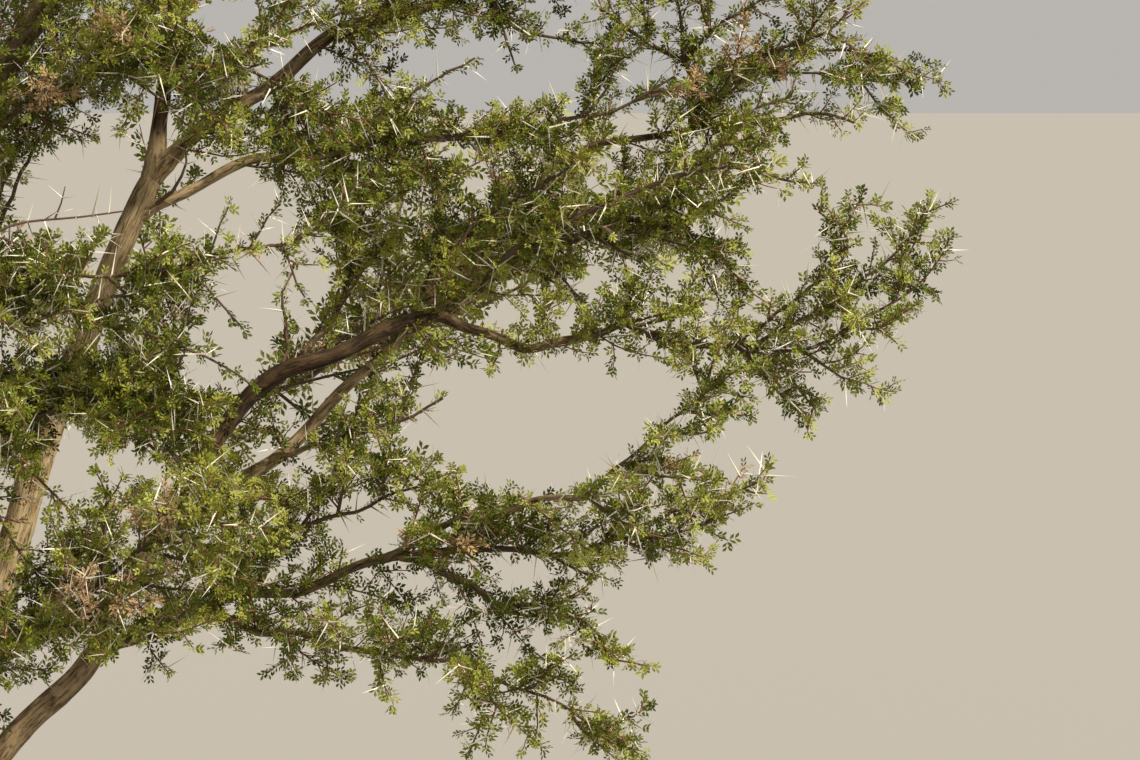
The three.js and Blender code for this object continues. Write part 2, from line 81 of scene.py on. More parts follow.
# Limbs and twigs, as in the source
CLEARANCE = 0.4
LIMB_STEP = 150
SPINE_STEP = 170
LIMB_WAVER = 0.02
WAVER_TURNS = np.array([5.2, 9.2, 13.2])
STEEP = 0.95
NECK_LENGTH = 14
GOLDEN_ANGLE = 2.39996
LEAST_LEAN = 0.65
LEAN_RANGE = 0.45
LEAST_SIZE = 0.75
SIZE_RANGE = 0.4
TWIG_CROOK = 0.34
TWIG_LIFT = 0.05
TWIG_STEP = 85
TWIG_BUTT = 2.6
TIP_SINK = 14
BUD_GAP = 0.4
FIRST_BUD = 0.6
BUD_GAP_RANGE = (78, 160)
SPRAY_GAP = 0.42
FIRST_SPRAY = 0.8
SPRAY_GAP_RANGE = (76, 140)
SPRAY_LENGTH = 0.7
SHORTEST_SPRAY = 108
LONGEST_SPRAY = 320
SPRAY_SPACE = 0.8
SPRAY_WIDTH = 0.54
SPRAY_CHECKS = np.array([0.3, 0.5, 0.75, 1])
OTHER_TURNS = (0, 2.1, 4.2)
SMALLER_SIZES = (1, 0.75, 0.55)
BASE_FULLNESS = 0.6
FULLNESS_GAIN = 1.6
FULLNESS_LOSS = 0.5
BARE_MARGIN = 12
BARE_CHECKS = 12
LIMB_SEED = 71
FOLIAGE_SEED = 503
TWIG_INDEX = 100
TIP_INDEX = 7
SHOOT_INDEX = 31
YOUNG_INDEX = 11
TONE_INDEX = 5

# Finer growth
FINE_STEP = 30
FINE_CROOK = 0.42
OLD_RADII = (3.6, 2.0)
YOUNG_RADII = (2.1, 1.1)
SHOOT_RADII = (1.5, 0.8)
LEAST_YOUNG_POINTS = 3
SPINE_END = 2.4
SPINE_TAPER = 1.6
SHOOT_GAP = 27
FIRST_SHOOT = 0.6
SHORTEST_SHOOT = 20
SHOOT_SHARE = 0.4
SHOOT_LOSS = 0.55
BETWEEN_GAP = 34
BETWEEN_LENGTH = 95
FIRST_BETWEEN = 0.5
CORE_LENGTH = 0.55
LIMB_TWIG_GAP = 36
LIMB_TWIG_LENGTH = 140
LIMB_TWIG_THICKEST = 19
LIMB_TWIG_COLLAR = 1.3
LIMB_TWIG_START = 2
TUFT_GAP = 11.5
OLD_TUFT_GAP = 15
COARSER = 2.8
LARGER = 1.72
FILL_LENGTH = 0.8
FILL_PLACE = 0.1
FIRST_TUFT = 0.6
TUFT_LEAN = 0.95
TUFT_LEAN_LOSS = 0.5
TUFT_HOLD = 0.7
LEAST_TUFT = 0.8
TUFT_RANGE = 0.4
NODE_TURN = 1.4
FINE_SEED = 4000
FINE_FROM = 200
FINE_TO = 1880
FINE_DEPTH = 520
LIMB_TWIG_SEED = 8111
DRY_SEED = 903
DRY_RADII = (4.6, 1.5)
DRY_SIDE_RADII = (2.0, 0.8)
DRY_GAP = 115
DRY_LENGTH = 60
SEEN_SEED = 1207
SEEN_STEP = 22
SEEN_CROOK = 5
SEEN_GAP = 21
SEEN_LENGTH = 48

# Foliage and limbs whose twigs stand closer, by the share of the usual gap
CLOSER = {"front_upper_foliage": 0.55, "front_middle_foliage": 0.55, "front_low_foliage": 0.95,
          "left_side_foliage": 0.7, "low_side_foliage": 0.8, "high_bough": 0.5, "high_leader": 0.6,
          "level_bough": 0.6, "left_side_bough": 0.6, "front_upper_bough": 0.6, "front_middle_bough": 0.6,
          "right_tip_foliage": 1.8, "far_upper_foliage": 2.4, "lower_right_foliage": 1.5, "far_bough": 2,
          "drooping_foliage": 1.2, "high_right_foliage": 1.2, "level_foliage": 1.2}

# Stems whose upper part carries longer twigs, by how much longer, up to this thickness
LONGER = {"leader_stem": 2.2, "left_stem": 1.8, "back_stem": 1.8, "front_stem": 1.5, "high_leader": 1.6}
LONGER_THICKEST = 27

# Leaves and thorns
TUFT_LEAVES = 2
LEAF_LENGTH = 20
LEAF_SPREAD = 0.85
LEAF_UPWARD = 0.6
LEAST_LEAF = 0.75
LEAFLET_PLACES = (0.16, 0.56)
LEAFLET_LENGTH = 0.6
LEAFLET_WIDTH = 0.26
LEAFLET_WIDEST = 0.6
LEAFLET_LEAN = 0.72
LEAFLET_FOLD = 0.05
LEAF_GLOSS = 0.2
LEAF_ROUGHNESS = 0.6
LEAF_SEED = 17
MOST_TUFTS = 12000
THORN_GAP = 27
FIRST_THORN = 0.4
OLD_THORN_SHARE = 0.78
YOUNG_THORN_SHARE = 0.5
STAR_THORNS = 7
STAR_REACH = 14
STAR_SEED = 3301
STAR_SHAPE = (1, 0.6, 1)
LEAST_STAR = 0.6
LONG_THORN = 58
SHORT_THORN = 22
THORN_RADIUS = 2.1
THORN_SIDES = 3
THORN_SINK = 0.05
THORN_SEED = 91
THORN_SPREAD = 0.06
LEAST_THORN = 0.95
THORN_LEAN = 1.25
THORN_LEAN_RANGE = 0.3
THORN_OUTWARD = 0.62
THORN_ASIDE = 0.78
# Share of thorn sets painted dark brown: partly old weathered thorns, partly painted shade
WEATHERED_AND_SHADED_THORNS = 0.2

# The place that the crown is seen from
EYE_ACROSS = 1347.5
EYE_DISTANCE = 9000
EYE_HEIGHT = 1641
AIM_HEIGHT = 1160
FRAME_WIDTH = 1995
SENSOR_WIDTH = 36


def seen(row):
    """A point that looks to be this far across and this high beside the trunk, at its real depth."""
    across, height, depth = row
    share = (EYE_DISTANCE + depth) / EYE_DISTANCE
    return np.array([EYE_ACROSS + (across - EYE_ACROSS) * share, depth,
                     EYE_HEIGHT + (height - EYE_HEIGHT) * share])


def looks(points):
    """How far across and how high points look to be beside the trunk."""
    share = EYE_DISTANCE / (EYE_DISTANCE + points[:, 1])
    return np.stack([EYE_ACROSS + (points[:, 0] - EYE_ACROSS) * share,
                     EYE_HEIGHT + (points[:, 2] - EYE_HEIGHT) * share], axis=1)


def in_crown(row):
    """A point inside the crown's dome: its bearing and rise in degrees, and its share of the way out."""
    bearing, rise, share = row
    turn, lift = math.radians(bearing), math.radians(rise)
    across, up = math.cos(turn) * math.cos(lift), math.sin(lift)
    high = CROWN_TOP - CROWN_MIDDLE if up > 0 else CROWN_MIDDLE - CROWN_UNDERSIDE
    return np.array([across * (CROWN_RIGHT if across > 0 else CROWN_LEFT) * share,
                     math.sin(turn) * math.cos(lift) * CROWN_DEPTH * share,
                     CROWN_MIDDLE + up * high * share])


# Limbs that the front shows: what each springs from and where along it, its middle and its tip
# as (across, height, depth), its butt and tip radius, and the stretch that no leaf hides
SEEN_LIMBS = (
    ("right_low_stem", "trunk", 0, (424, 592, -40), (640, 915, 0), 25, 17, (0.42, 0.62)),
    ("right_high_stem", "trunk", 0, (410, 1020, 60), (625, 1527, 80), 36, 21, (0.84, 1)),
    ("leader_stem", "trunk", 0, (420, 1735, 120), (640, 2130, 180), 46, 16, (0.44, 0.56)),
    ("front_stem", "trunk", 0, (20, 1000, -330), (-90, 1620, -600), 30, 14, None),
    ("middle_bough", "right_low_stem", 1, (854, 1170, 0), (1125, 1274, 0), 17, 12, (0.3, 0.9)),
    ("pale_bough", "right_low_stem", 0.97, (913, 1107, 120), (1120, 1335, 220), 14, 8, (0.3, 0.66)),
    ("reaching_bough", "middle_bough", 1, (1277, 1221, -40), (1430, 1255, -60), 10, 6, (0, 0.15)),
    ("rising_bough", "middle_bough", 0.95, (1190, 1322, 40), (1265, 1378, 60), 9, 6, None),
    ("inner_bough", "middle_bough", 0.44, (905, 1225, 60), (960, 1335, 110), 7, 5, None),
    ("pale_side_bough", "pale_bough", 0.36, (895, 1042, 20), (945, 1058, 10), 6, 5, None),
    ("far_bough", "pale_bough", 0.86, (1320, 1535, 380), (1559, 1597, 350), 8, 6, None),
    ("low_bough", "right_low_stem", 0.7, (794, 782, -150), (1143, 862, -260), 10, 7, None),
    ("low_side_bough", "low_bough", 0.3, (800, 850, -170), (850, 890, -190), 6, 5, None),
    ("drooping_bough", "low_bough", 0.3, (860, 712, -240), (1015, 680, -330), 7, 5, None),
    ("hanging_bough", "low_bough", 0.88, (1162, 805, -300), (1215, 766, -320), 6, 5, None),
    ("lower_right_bough", "low_bough", 0.84, (1250, 940, -350), (1370, 953, -400), 6, 5, None),
    ("high_leader", "right_high_stem", 1, (636, 1720, 110), (690, 2010, 140), 15, 10, (0, 0.3)),
    ("high_bough", "right_high_stem", 1, (930, 1745, 120), (1190, 1845, 170), 15, 9, (0.28, 0.55)),
    ("high_side_bough", "high_bough", 0.7, (1130, 1990, 260), (1190, 2180, 310), 8, 6, None),
    ("level_bough", "right_high_stem", 0.94, (880, 1557, 60), (1129, 1583, 40), 10, 7, (0.1, 0.45)),
    ("left_side_bough", "leader_stem", 0.66, (430, 1655, -60), (520, 1694, -80), 8, 5, None),
    ("front_low_bough", "front_stem", 0.25, (170, 610, -300), (330, 665, -440), 14, 9, None),
    ("front_middle_bough", "front_stem", 0.5, (140, 1035, -370), (300, 1065, -410), 11, 8, None),
    ("front_upper_bough", "front_stem", 0.66, (110, 1230, -420), (250, 1290, -430), 10, 7, None),
)

# Limbs round the rest of the crown, placed by bearing, rise and share of the crown
ROUND_LIMBS = (
    ("left_stem", "trunk", 0, (174, -12, 0.26), (178, 36, 0.48), 40, 15, None),
    ("left_low_bough", "left_stem", 0.35, (188, -48, 0.36), (192, -38, 0.52), 18, 9, None),
    ("left_back_bough", "left_stem", 0.62, (158, -2, 0.36), (146, 4, 0.48), 16, 9, None),
    ("back_stem", "trunk", 0, (86, -6, 0.28), (92, 42, 0.46), 38, 13, None),
    ("back_right_bough", "back_stem", 0.3, (62, -48, 0.42), (50, -44, 0.56), 18, 9, None),
    ("back_left_bough", "back_stem", 0.62, (104, 2, 0.42), (112, 6, 0.52), 16, 9, None),
    ("front_left_bough", "front_stem", 0.55, (238, -2, 0.42), (224, 2, 0.52), 13, 9, None),
)

# Long bare twigs: the limb that each springs from and where along it, its middle and its tip
DRY_TWIGS = (
    ("front_stem", 0.66, (300, 1392, -460), (566, 1455, -430)),
    ("left_stem", 0.5, (-700, 1330, -60), (-1010, 1290, -90)),
    ("back_stem", 0.5, (60, 1560, 520), (-120, 1600, 820)),
    ("level_bough", 0.04, (672, 1524, 40), (677, 1572, 40)),
)

# Leafy twigs that the front shows: what each springs from and where along it, its butt and tip radius,
# its depth, and the places that it passes as (across, height)
SEEN_TWIGS = (
    ("fan_stem", "far_bough", 1, 8, 6, 370, ((1568, 1660), (1549, 1716))),
    ("fan_left", "fan_stem", 1, 5, 2.4, 380, ((1494, 1741), (1449, 1772), (1400, 1811))),
    ("fan_left_top", "fan_left", 0.42, 3.4, 1.8, 385, ((1480, 1776), (1470, 1832))),
    ("fan_top", "fan_stem", 1, 4.5, 2, 360, ((1542, 1762), (1533, 1836))),
    ("fan_right", "fan_stem", 1, 4.5, 2.2, 350, ((1589, 1766), (1645, 1804), (1701, 1832))),
    ("fan_right_top", "fan_right", 0.36, 3, 1.8, 345, ((1578, 1804), (1573, 1836))),
    ("far_thin", "far_bough", 1, 3.4, 2, 340, ((1614, 1650), (1645, 1685), (1670, 1710))),
    ("far_strong", "fan_stem", 0.6, 5, 2.4, 330,
     ((1603, 1704), (1666, 1727), (1743, 1748), (1810, 1771), (1839, 1818))),
    ("far_strong_side", "far_strong", 0.8, 2.8, 1.8, 325, ((1838, 1744), (1857, 1720))),
    ("far_low", "far_bough", 1, 6.5, 2.2, 310,
     ((1645, 1612), (1718, 1617), (1771, 1629), (1816, 1622), (1848, 1608))),
    ("long_front", "rising_bough", 0.55, 6, 2.2, -20,
     ((1246, 1393), (1340, 1436), (1421, 1472), (1488, 1500), (1575, 1529), (1666, 1531), (1718, 1510),
      (1757, 1505))),
    ("crossing", "long_front", 0.66, 3.2, 2, -30,
     ((1617, 1566), (1659, 1622), (1684, 1641), (1736, 1659))),
    ("mid_pale", "rising_bough", 1, 6, 3, 90, ((1358, 1405), (1421, 1431), (1488, 1426), (1544, 1428))),
    ("mid_pale_side", "mid_pale", 0.45, 4, 2.2, 70, ((1435, 1391), (1474, 1372))),
    ("inner_long", "rising_bough", 0, 4.4, 2.2, 20,
     ((1141, 1366), (1169, 1426), (1225, 1461), (1323, 1515), (1372, 1548))),
    ("level_top", "level_bough", 0.6, 4, 2, 20, ((1018, 1626), (1057, 1652), (1115, 1685), (1181, 1722))),
    ("high_level", "high_bough", 1, 4, 2, 150, ((1234, 1783), (1278, 1762), (1334, 1755), (1410, 1748))),
    ("high_hanging", "high_bough", 1, 3.2, 1.8, 140,
     ((1220, 1814), (1225, 1783), (1239, 1741), (1253, 1710))),
    ("high_thin", "high_bough", 0.62, 3.2, 1.8, 60, ((1001, 1711), (1026, 1659), (1054, 1618))),
    ("high_red", "high_bough", 0.42, 2.8, 1.6, 40, ((892, 1659), (928, 1606), (954, 1562), (968, 1524))),
    ("leader_level", "leader_stem", 0.44, 5.5, 2, 20,
     ((455, 1685), (542, 1699), (644, 1701), (690, 1729))),
    ("leader_low", "leader_stem", 0.38, 5, 2.2, 30, ((402, 1636), (455, 1671), (500, 1690))),
    ("leader_top", "leader_stem", 0.5, 6, 3, 30,
     ((476, 1786), (525, 1767), (578, 1755), (634, 1762), (693, 1772))),
    ("leader_brown", "leader_top", 1, 2.6, 1.6, 25, ((700, 1780), (710, 1762))),
    ("upper_dark", "high_leader", 0.3, 5, 2.4, 50,
     ((682, 1674), (728, 1699), (808, 1743), (878, 1772), (954, 1804))),
    ("front_long", "front_upper_foliage", 0.8, 4.2, 2, -440,
     ((674, 1356), (719, 1380), (788, 1391), (858, 1396), (894, 1416), (938, 1458), (973, 1503))),
    ("front_sprig", "front_long", 0.35, 2.2, 1.5, -445, ((738, 1436), (752, 1464))),
    ("level_low", "level_bough", 0.36, 2.6, 1.6, 40, ((884, 1524), (920, 1492))),
    ("low_tip", "low_foliage", 0.55, 3.2, 1.6, -280, ((1558, 940), (1628, 960), (1689, 985))),
    ("right_strong", "right_tip_foliage", 0.45, 4.4, 2, -95,
     ((1816, 1298), (1869, 1346), (1913, 1377), (1944, 1414), (1970, 1461))),
    ("right_curved", "right_tip_foliage", 0.4, 3.6, 1.8, -85,
     ((1830, 1366), (1836, 1408), (1816, 1431), (1780, 1456))),
    ("right_curved_top", "right_curved", 0.5, 2.6, 1.6, -80, ((1838, 1447), (1860, 1480))),
    ("right_level", "right_strong", 0.12, 2.8, 1.6, -100, ((1872, 1328), (1925, 1333), (1972, 1318))),
    ("right_drooping", "right_tip_foliage", 0.15, 3.4, 1.8, -110,
     ((1694, 1209), (1729, 1174), (1754, 1136), (1780, 1106))),
    ("front_left_level", "front_middle_bough", 0.5, 4.2, 2, -440,
     ((315, 1072), (402, 1002), (458, 950), (500, 880))),
    ("front_left_low", "front_middle_bough", 0.3, 4.2, 2, -430,
     ((298, 1020), (350, 915), (392, 845), (441, 775))),
    ("front_left_rising", "front_low_bough", 0.6, 4.4, 2, -450,
     ((315, 705), (368, 792), (434, 845), (518, 866))),
    ("front_left_under", "front_low_bough", 0.8, 3.6, 2, -440, ((368, 688), (438, 719), (511, 744))),
    ("left_dark", "front_upper_foliage", 0.2, 4.6, 2.2, -470,
     ((385, 1248), (472, 1290), (560, 1307), (616, 1318))),
    ("brown_middle", "front_low_foliage", 0.75, 3, 1.6, -600, ((651, 950), (630, 918))),
    ("brown_low", "front_low_foliage", 0.35, 3, 1.6, -620, ((504, 824), (483, 792))),
    ("brown_lower", "front_low_foliage", 0.5, 3, 1.6, -620, ((567, 778), (588, 754))),
    ("knee_top", "middle_bough", 0.5, 4.4, 2.2, 20, ((856, 1206), (848, 1262), (842, 1318))),
    ("knee_side", "middle_bough", 0.56, 4.2, 2, 40,
     ((935, 1226), (989, 1254), (1048, 1286), (1130, 1312))),
    ("front_hanging", "front_long", 0.12, 2.8, 1.6, -445, ((706, 1332), (745, 1290), (778, 1248))),
    ("front_middle_sprig", "front_long", 0.5, 2.4, 1.6, -450, ((812, 1432), (842, 1468))),
    ("front_low_sprig", "front_long", 0.62, 2.4, 1.6, -450, ((856, 1366), (866, 1334), (882, 1302))),
    ("left_dark_long", "left_dark", 0.5, 3.4, 1.8, -470,
     ((560, 1252), (650, 1226), (735, 1192), (788, 1152))),
)
# Those whose leaves have withered
WITHERED = ("leader_brown", "brown_middle", "brown_low", "brown_lower")

# Where long thorns stand in a star on the twigs in front, as (across, height)
THORN_STARS = (
    (709, 819), (878, 726), (452, 1184), (539, 1209), (606, 1202), (651, 1248), (763, 1016),
    (693, 1307), (1120, 964), (1304, 754), (1334, 705), (1194, 764), (808, 852), (1694, 978),
    (1900, 1300), (1829, 1618), (1491, 1562), (1059, 1482),
)

# Foliage that the front shows: its bough, the middle and tip of its own stem and its reach to the side
SEEN_FOLIAGE = (
    ("right_tip_foliage", "reaching_bough", (1676, 1212, -90), (1955, 1325, -100), 165),
    ("right_middle_foliage", "rising_bough", (1440, 1432, 60), (1640, 1385, 60), 165),
    ("inner_right_foliage", "pale_bough", (1360, 1440, 200), (1640, 1560, 220), 170),
    ("inner_upper_foliage", "inner_bough", (985, 1440, 140), (1050, 1580, 170), 160),
    ("pale_side_foliage", "pale_side_bough", (1035, 1083, -10), (1125, 1128, -20), 90),
    ("far_upper_foliage", "far_bough", (1650, 1700, 350), (1890, 1722, 330), 190),
    ("low_foliage", "low_bough", (1375, 866, -250), (1605, 915, -260), 120),
    ("low_side_foliage", "low_side_bough", (980, 935, -220), (1110, 985, -240), 110),
    ("drooping_foliage", "drooping_bough", (1190, 650, -380), (1385, 552, -420), 135),
    ("hanging_foliage", "hanging_bough", (1310, 765, -340), (1405, 705, -350), 95),
    ("lower_right_foliage", "lower_right_bough", (1490, 1062, -430), (1600, 1150, -450), 130),
    ("high_right_foliage", "high_bough", (1370, 1862, 180), (1640, 1975, 190), 210),
    ("high_side_foliage", "high_side_bough", (1290, 2380, 350), (1480, 2500, 380), 410),
    ("level_foliage", "level_bough", (1354, 1610, 20), (1530, 1690, 10), 130),
    ("left_side_foliage", "left_side_bough", (650, 1715, -110), (930, 1625, -140), 180),
    ("front_low_foliage", "front_low_bough", (500, 800, -520), (720, 925, -560), 200),
    ("front_middle_foliage", "front_middle_bough", (520, 1120, -430), (730, 1130, -450), 190),
    ("front_upper_foliage", "front_upper_bough", (440, 1335, -440), (650, 1350, -450), 175),
    ("high_leader_foliage", "high_leader", (740, 2330, 150), (820, 2700, 160), 370),
    ("leader_foliage", "leader_stem", (560, 2520, 230), (330, 2900, 200), 500),
)

# Foliage round the rest of the crown
ROUND_FOLIAGE = (
    ("front_stem_foliage", "front_stem", (246, 50, 0.68), (240, 58, 0.96), 520),
    ("left_stem_foliage", "left_stem", (176, 58, 0.7), (186, 52, 0.96), 580),
    ("left_low_foliage", "left_low_bough", (196, -30, 0.76), (200, -22, 0.96), 520),
    ("left_back_foliage", "left_back_bough", (144, 8, 0.72), (146, 14, 0.96), 560),
    ("back_stem_foliage", "back_stem", (98, 56, 0.72), (100, 48, 0.96), 580),
    ("back_right_foliage", "back_right_bough", (46, -24, 0.74), (46, -4, 0.94), 540),
    ("back_left_foliage", "back_left_bough", (100, 10, 0.74), (92, 12, 0.96), 560),
    ("front_left_foliage", "front_left_bough", (220, 8, 0.74), (220, 14, 0.96), 520),
)

# Openings right through the crown, as (across, height, half width, half height)
OPENINGS = np.array((
    (761, 1449, 114, 44), (481, 1492, 131, 79), (682, 1562, 21, 26), (1225, 1702, 166, 52),
    (1496, 1694, 52, 26), (744, 1786, 49, 42), (779, 1265, 66, 96), (726, 1169, 70, 38),
    (476, 1020, 38, 49), (882, 1317, 31, 44), (1295, 1072, 192, 105), (1155, 1134, 87, 52),
    (1487, 1151, 79, 35), (989, 924, 70, 44), (1277, 819, 44, 26), (1356, 1330, 79, 16),
    (1146, 1559, 35, 21), (1456, 1589, 35, 16), (1715, 1396, 61, 79), (770, 574, 262, 66),
))


# Seeded random numbers, the same for the same seed
WRAP = 2 ** 32
DRAW_FACTOR = 1664525
DRAW_STEP = 1013904223
CHILD_FACTOR = 69069
CHILD_STEP = 7919


def draws(seed):
    state = seed % WRAP

    def draw():
        nonlocal state
        state = (state * DRAW_FACTOR + DRAW_STEP) % WRAP
        return state / WRAP

    draw()
    draw()
    return draw


def child_seed(seed, index):
    return (seed * CHILD_FACTOR + index * CHILD_STEP + 1) % WRAP


def rounded(value):
    return math.floor(value + 0.5)


def unit(vector):
    return vector / math.sqrt(vector @ vector)


def clamp(value, low, high):
    return min(high, max(low, value))


# Paths
def waver_path(start, middle, tip, seed, step):
    """A smooth, slightly wavering path from a start through a middle to a tip."""
    draw = draws(seed)
    first, second = math.dist(start, middle), math.dist(middle, tip)
    length = first + second
    halfway = first / length
    control = (middle - start * (1 - halfway) ** 2 - tip * halfway ** 2) / (2 * halfway * (1 - halfway))
    phases = np.array([draw(), draw(), draw()])
    count = max(4, rounded(length / step))
    t = np.linspace(0, 1, count + 1)[:, None]
    swing = np.sin(math.pi * t) * length * LIMB_WAVER
    return (start * (1 - t) ** 2 + control * 2 * t * (1 - t) + tip * t ** 2
            + swing * np.sin(WAVER_TURNS * t + phases * 2 * math.pi))


def tangents(points):
    ahead = np.empty_like(points)
    ahead[1:-1] = points[2:] - points[:-2]
    ahead[0] = points[1] - points[0]
    ahead[-1] = points[-1] - points[-2]
    return ahead / np.linalg.norm(ahead, axis=1)[:, None]


def distances(points):
    """How far along its path each point lies."""
    return np.concatenate([[0], np.cumsum(np.linalg.norm(np.diff(points, axis=0), axis=1))])


def points_at(path, places):
    """The points at these distances along a path."""
    far = distances(path)
    return np.stack([np.interp(places, far, path[:, axis]) for axis in range(3)], axis=1)


def radius_at(wood, share):
    """The radius of a limb or twig at a share of its length."""
    return np.interp(share, (0, 1), (wood.radii[0], wood.radii[-1]))


def along(points, share):
    """The point and heading at a share of a path's points."""
    place = share * (len(points) - 1)
    k = min(len(points) - 2, int(place))
    step = points[k + 1] - points[k]
    return points[k] + step * (place - k), unit(step)


def eased(share):
    share = np.clip(share, 0, 1)
    return share ** 2 * (3 - 2 * share)


def sideways(heading):
    """Two directions square to a heading and to each other."""
    flat = np.array([1.0, 0, 0]) if abs(heading[2]) > STEEP else np.array([0, 0, 1.0])
    right = unit(np.cross(heading, flat))
    return right, np.cross(right, heading)


def twig_path(start, heading, length, seed, step=TWIG_STEP, crook=TWIG_CROOK):
    """A crooked twig that lifts a little as it grows."""
    draw = draws(seed)
    count = max(2, rounded(length / step))
    points = [start]
    for _ in range(count):
        bend = np.array([(draw() - 0.5) * crook for _ in range(3)])
        heading = unit(heading + (bend + (0, 0, TWIG_LIFT)))
        points.append(points[-1] + heading * (length / count))
    return np.array(points)


class Bud:
    """Where a side twig leaves a path, its share along, its size and its seed."""

    def __init__(self, path, distance, length, k, seed):
        draw = draws(child_seed(seed, k))
        roll, tilt, size = draw(), draw(), draw()
        self.share = distance / length
        self.point, self.ahead = along(path, self.share)
        self.right, self.up = sideways(self.ahead)
        self.lean = LEAST_LEAN + LEAN_RANGE * tilt
        self.turn = k * GOLDEN_ANGLE + roll
        self.size = LEAST_SIZE + SIZE_RANGE * size
        self.seed = child_seed(seed, k + TWIG_INDEX)

    def heading(self, turned=0):
        turn = self.turn + turned
        return (self.ahead * math.cos(self.lean) + self.right * (math.sin(self.lean) * math.cos(turn))
                + self.up * (math.sin(self.lean) * math.sin(turn)))


class TipBud:
    """The bud at the tip of a path."""

    def __init__(self, path, seed):
        point, self.ahead = along(path, 1)
        self.point = point - self.ahead * TIP_SINK
        self.seed = seed

    def heading(self, turned=0):
        return self.ahead


def buds_along(path, seed, gap, first):
    length = distances(path)[-1]
    count = max(0, math.ceil((length - first) / gap))
    return [Bud(path, first + k * gap, length, k, seed) for k in range(count)]


# Limbs and stems of foliage
limbs = {}


def add_limb(row, place):
    name, parent, share, middle, tip, butt, end, bare = row
    middle, tip = place(middle), place(tip)
    if parent == "trunk":
        turn = math.atan2(middle[1], middle[0] - FORK_LEAN)
        start = np.array([FORK_LEAN + STEM_SPREAD * math.cos(turn), STEM_SPREAD * math.sin(turn),
                          FORK_HEIGHT - STEM_SINK])
    else:
        start = along(limbs[parent].points, share)[0]
    seed = child_seed(LIMB_SEED, len(limbs))
    points = waver_path(start, middle, tip, seed, LIMB_STEP)
    limbs[name] = SimpleNamespace(
        points=points, fine=waver_path(start, middle, tip, seed, FINE_STEP / 3),
        radii=np.linspace(butt, end, len(points)), parent=parent, share=share, seed=seed, bare=bare)


for limb_row in SEEN_LIMBS:
    add_limb(limb_row, seen)
for limb_row in ROUND_LIMBS:
    add_limb(limb_row, in_crown)

masses = []


def add_mass(row, place):
    name, bough, middle, tip, reach = row
    points = limbs[bough].points
    heading = tangents(points)[-1]
    seed = child_seed(FOLIAGE_SEED, len(masses))
    line = points[-1] + heading * NECK_LENGTH, place(middle), place(tip), seed
    masses.append(SimpleNamespace(
        name=name, seed=seed, reach=reach, butt=limbs[bough].radii[-1], taken=[],
        spine=np.vstack([points[-1] + heading * CLEARANCE, waver_path(*line, SPINE_STEP)]),
        fine=np.vstack([points[-1] - heading * NECK_LENGTH, waver_path(*line, FINE_STEP)])))


for mass_row in SEEN_FOLIAGE:
    add_mass(mass_row, seen)
for mass_row in ROUND_FOLIAGE:
    add_mass(mass_row, in_crown)


# Tests of a point's room
LIMB_STARTS = np.vstack([limb.points[:-1] for limb in limbs.values()] + [np.zeros((1, 3))])
LIMB_ENDS = np.vstack([limb.points[1:] for limb in limbs.values()] + [[[FORK_LEAN, 0, FORK_HEIGHT]]])
LIMB_RADII = np.concatenate([limb.radii[:-1] for limb in limbs.values()] + [[FOOT_RADIUS]])
SPINE_STARTS = np.vstack([mass.spine[:-1] for mass in masses])
SPINE_ENDS = np.vstack([mass.spine[1:] for mass in masses])
SPINE_FIRSTS = np.concatenate([[0], np.cumsum([len(mass.spine) - 1 for mass in masses])[:-1]])

bare_places = []
for limb in limbs.values():
    if limb.bare:
        for part in np.linspace(*limb.bare, BARE_CHECKS + 1):
            bare_places.append((*along(limb.points, part)[0], limb.radii[-1] + BARE_MARGIN))
BARE = np.array(bare_places)
BARE_LOOKS = looks(BARE[:, :3])


def gaps_to(starts, ends, points):
    """The distance from each point to each straight piece."""
    reach = ends - starts
    apart = points[:, None] - starts
    share = np.clip((apart * reach).sum(2) / (reach * reach).sum(1), 0, 1)
    return np.linalg.norm(apart - share[..., None] * reach, axis=2)


def in_open_air(points, room):
    """True where points are above the ground, clear of limbs, and hide no opening and no bare limb."""
    look = looks(points)
    inside = (((look[:, None] - OPENINGS[:, :2]) / OPENINGS[:, 2:]) ** 2).sum(2).min(1) < 1
    before = points[:, 1, None] < BARE[:, 1]
    close = np.linalg.norm(look[:, None] - BARE_LOOKS, axis=2) < BARE[:, 3]
    clear = (gaps_to(LIMB_STARTS, LIMB_ENDS, points) - LIMB_RADII).min(1) >= room
    return (points[:, 2] >= LOWEST_LEAF) & ~inside & ~(before & close).any(1) & clear


def has_room(order, points, room):
    """True where points have this much room, in the space of their own mass where they are of one."""
    free = in_open_air(points, room)
    if order is None:
        return free
    near = np.minimum.reduceat(gaps_to(SPINE_STARTS, SPINE_ENDS, points), SPINE_FIRSTS, axis=1)
    own = near[:, order].copy()
    near[:, order] = np.inf
    return (near.min(1) > own + 2 * room) & free


def kept_points(order, path, room):
    """How many of a twig's points come before the first that has no room."""
    free = has_room(order, path[1:], room)
    return 1 + (len(free) if free.all() else int(np.argmin(free)))


def fullness(share):
    return min(1, BASE_FULLNESS + FULLNESS_GAIN * share) * (1 - FULLNESS_LOSS * share ** 2)


def kept_twig(order, bud, length):
    """The longest start of a twig that stays in its mass's room."""
    best = np.empty((0, 3))
    for turned in OTHER_TURNS:
        path = twig_path(bud.point, bud.heading(turned), length, bud.seed)
        kept = kept_points(order, path, TWIG_BUTT)
        if kept > max(1, len(best)):
            best = path[:kept]
        if kept == len(path):
            break
    return best


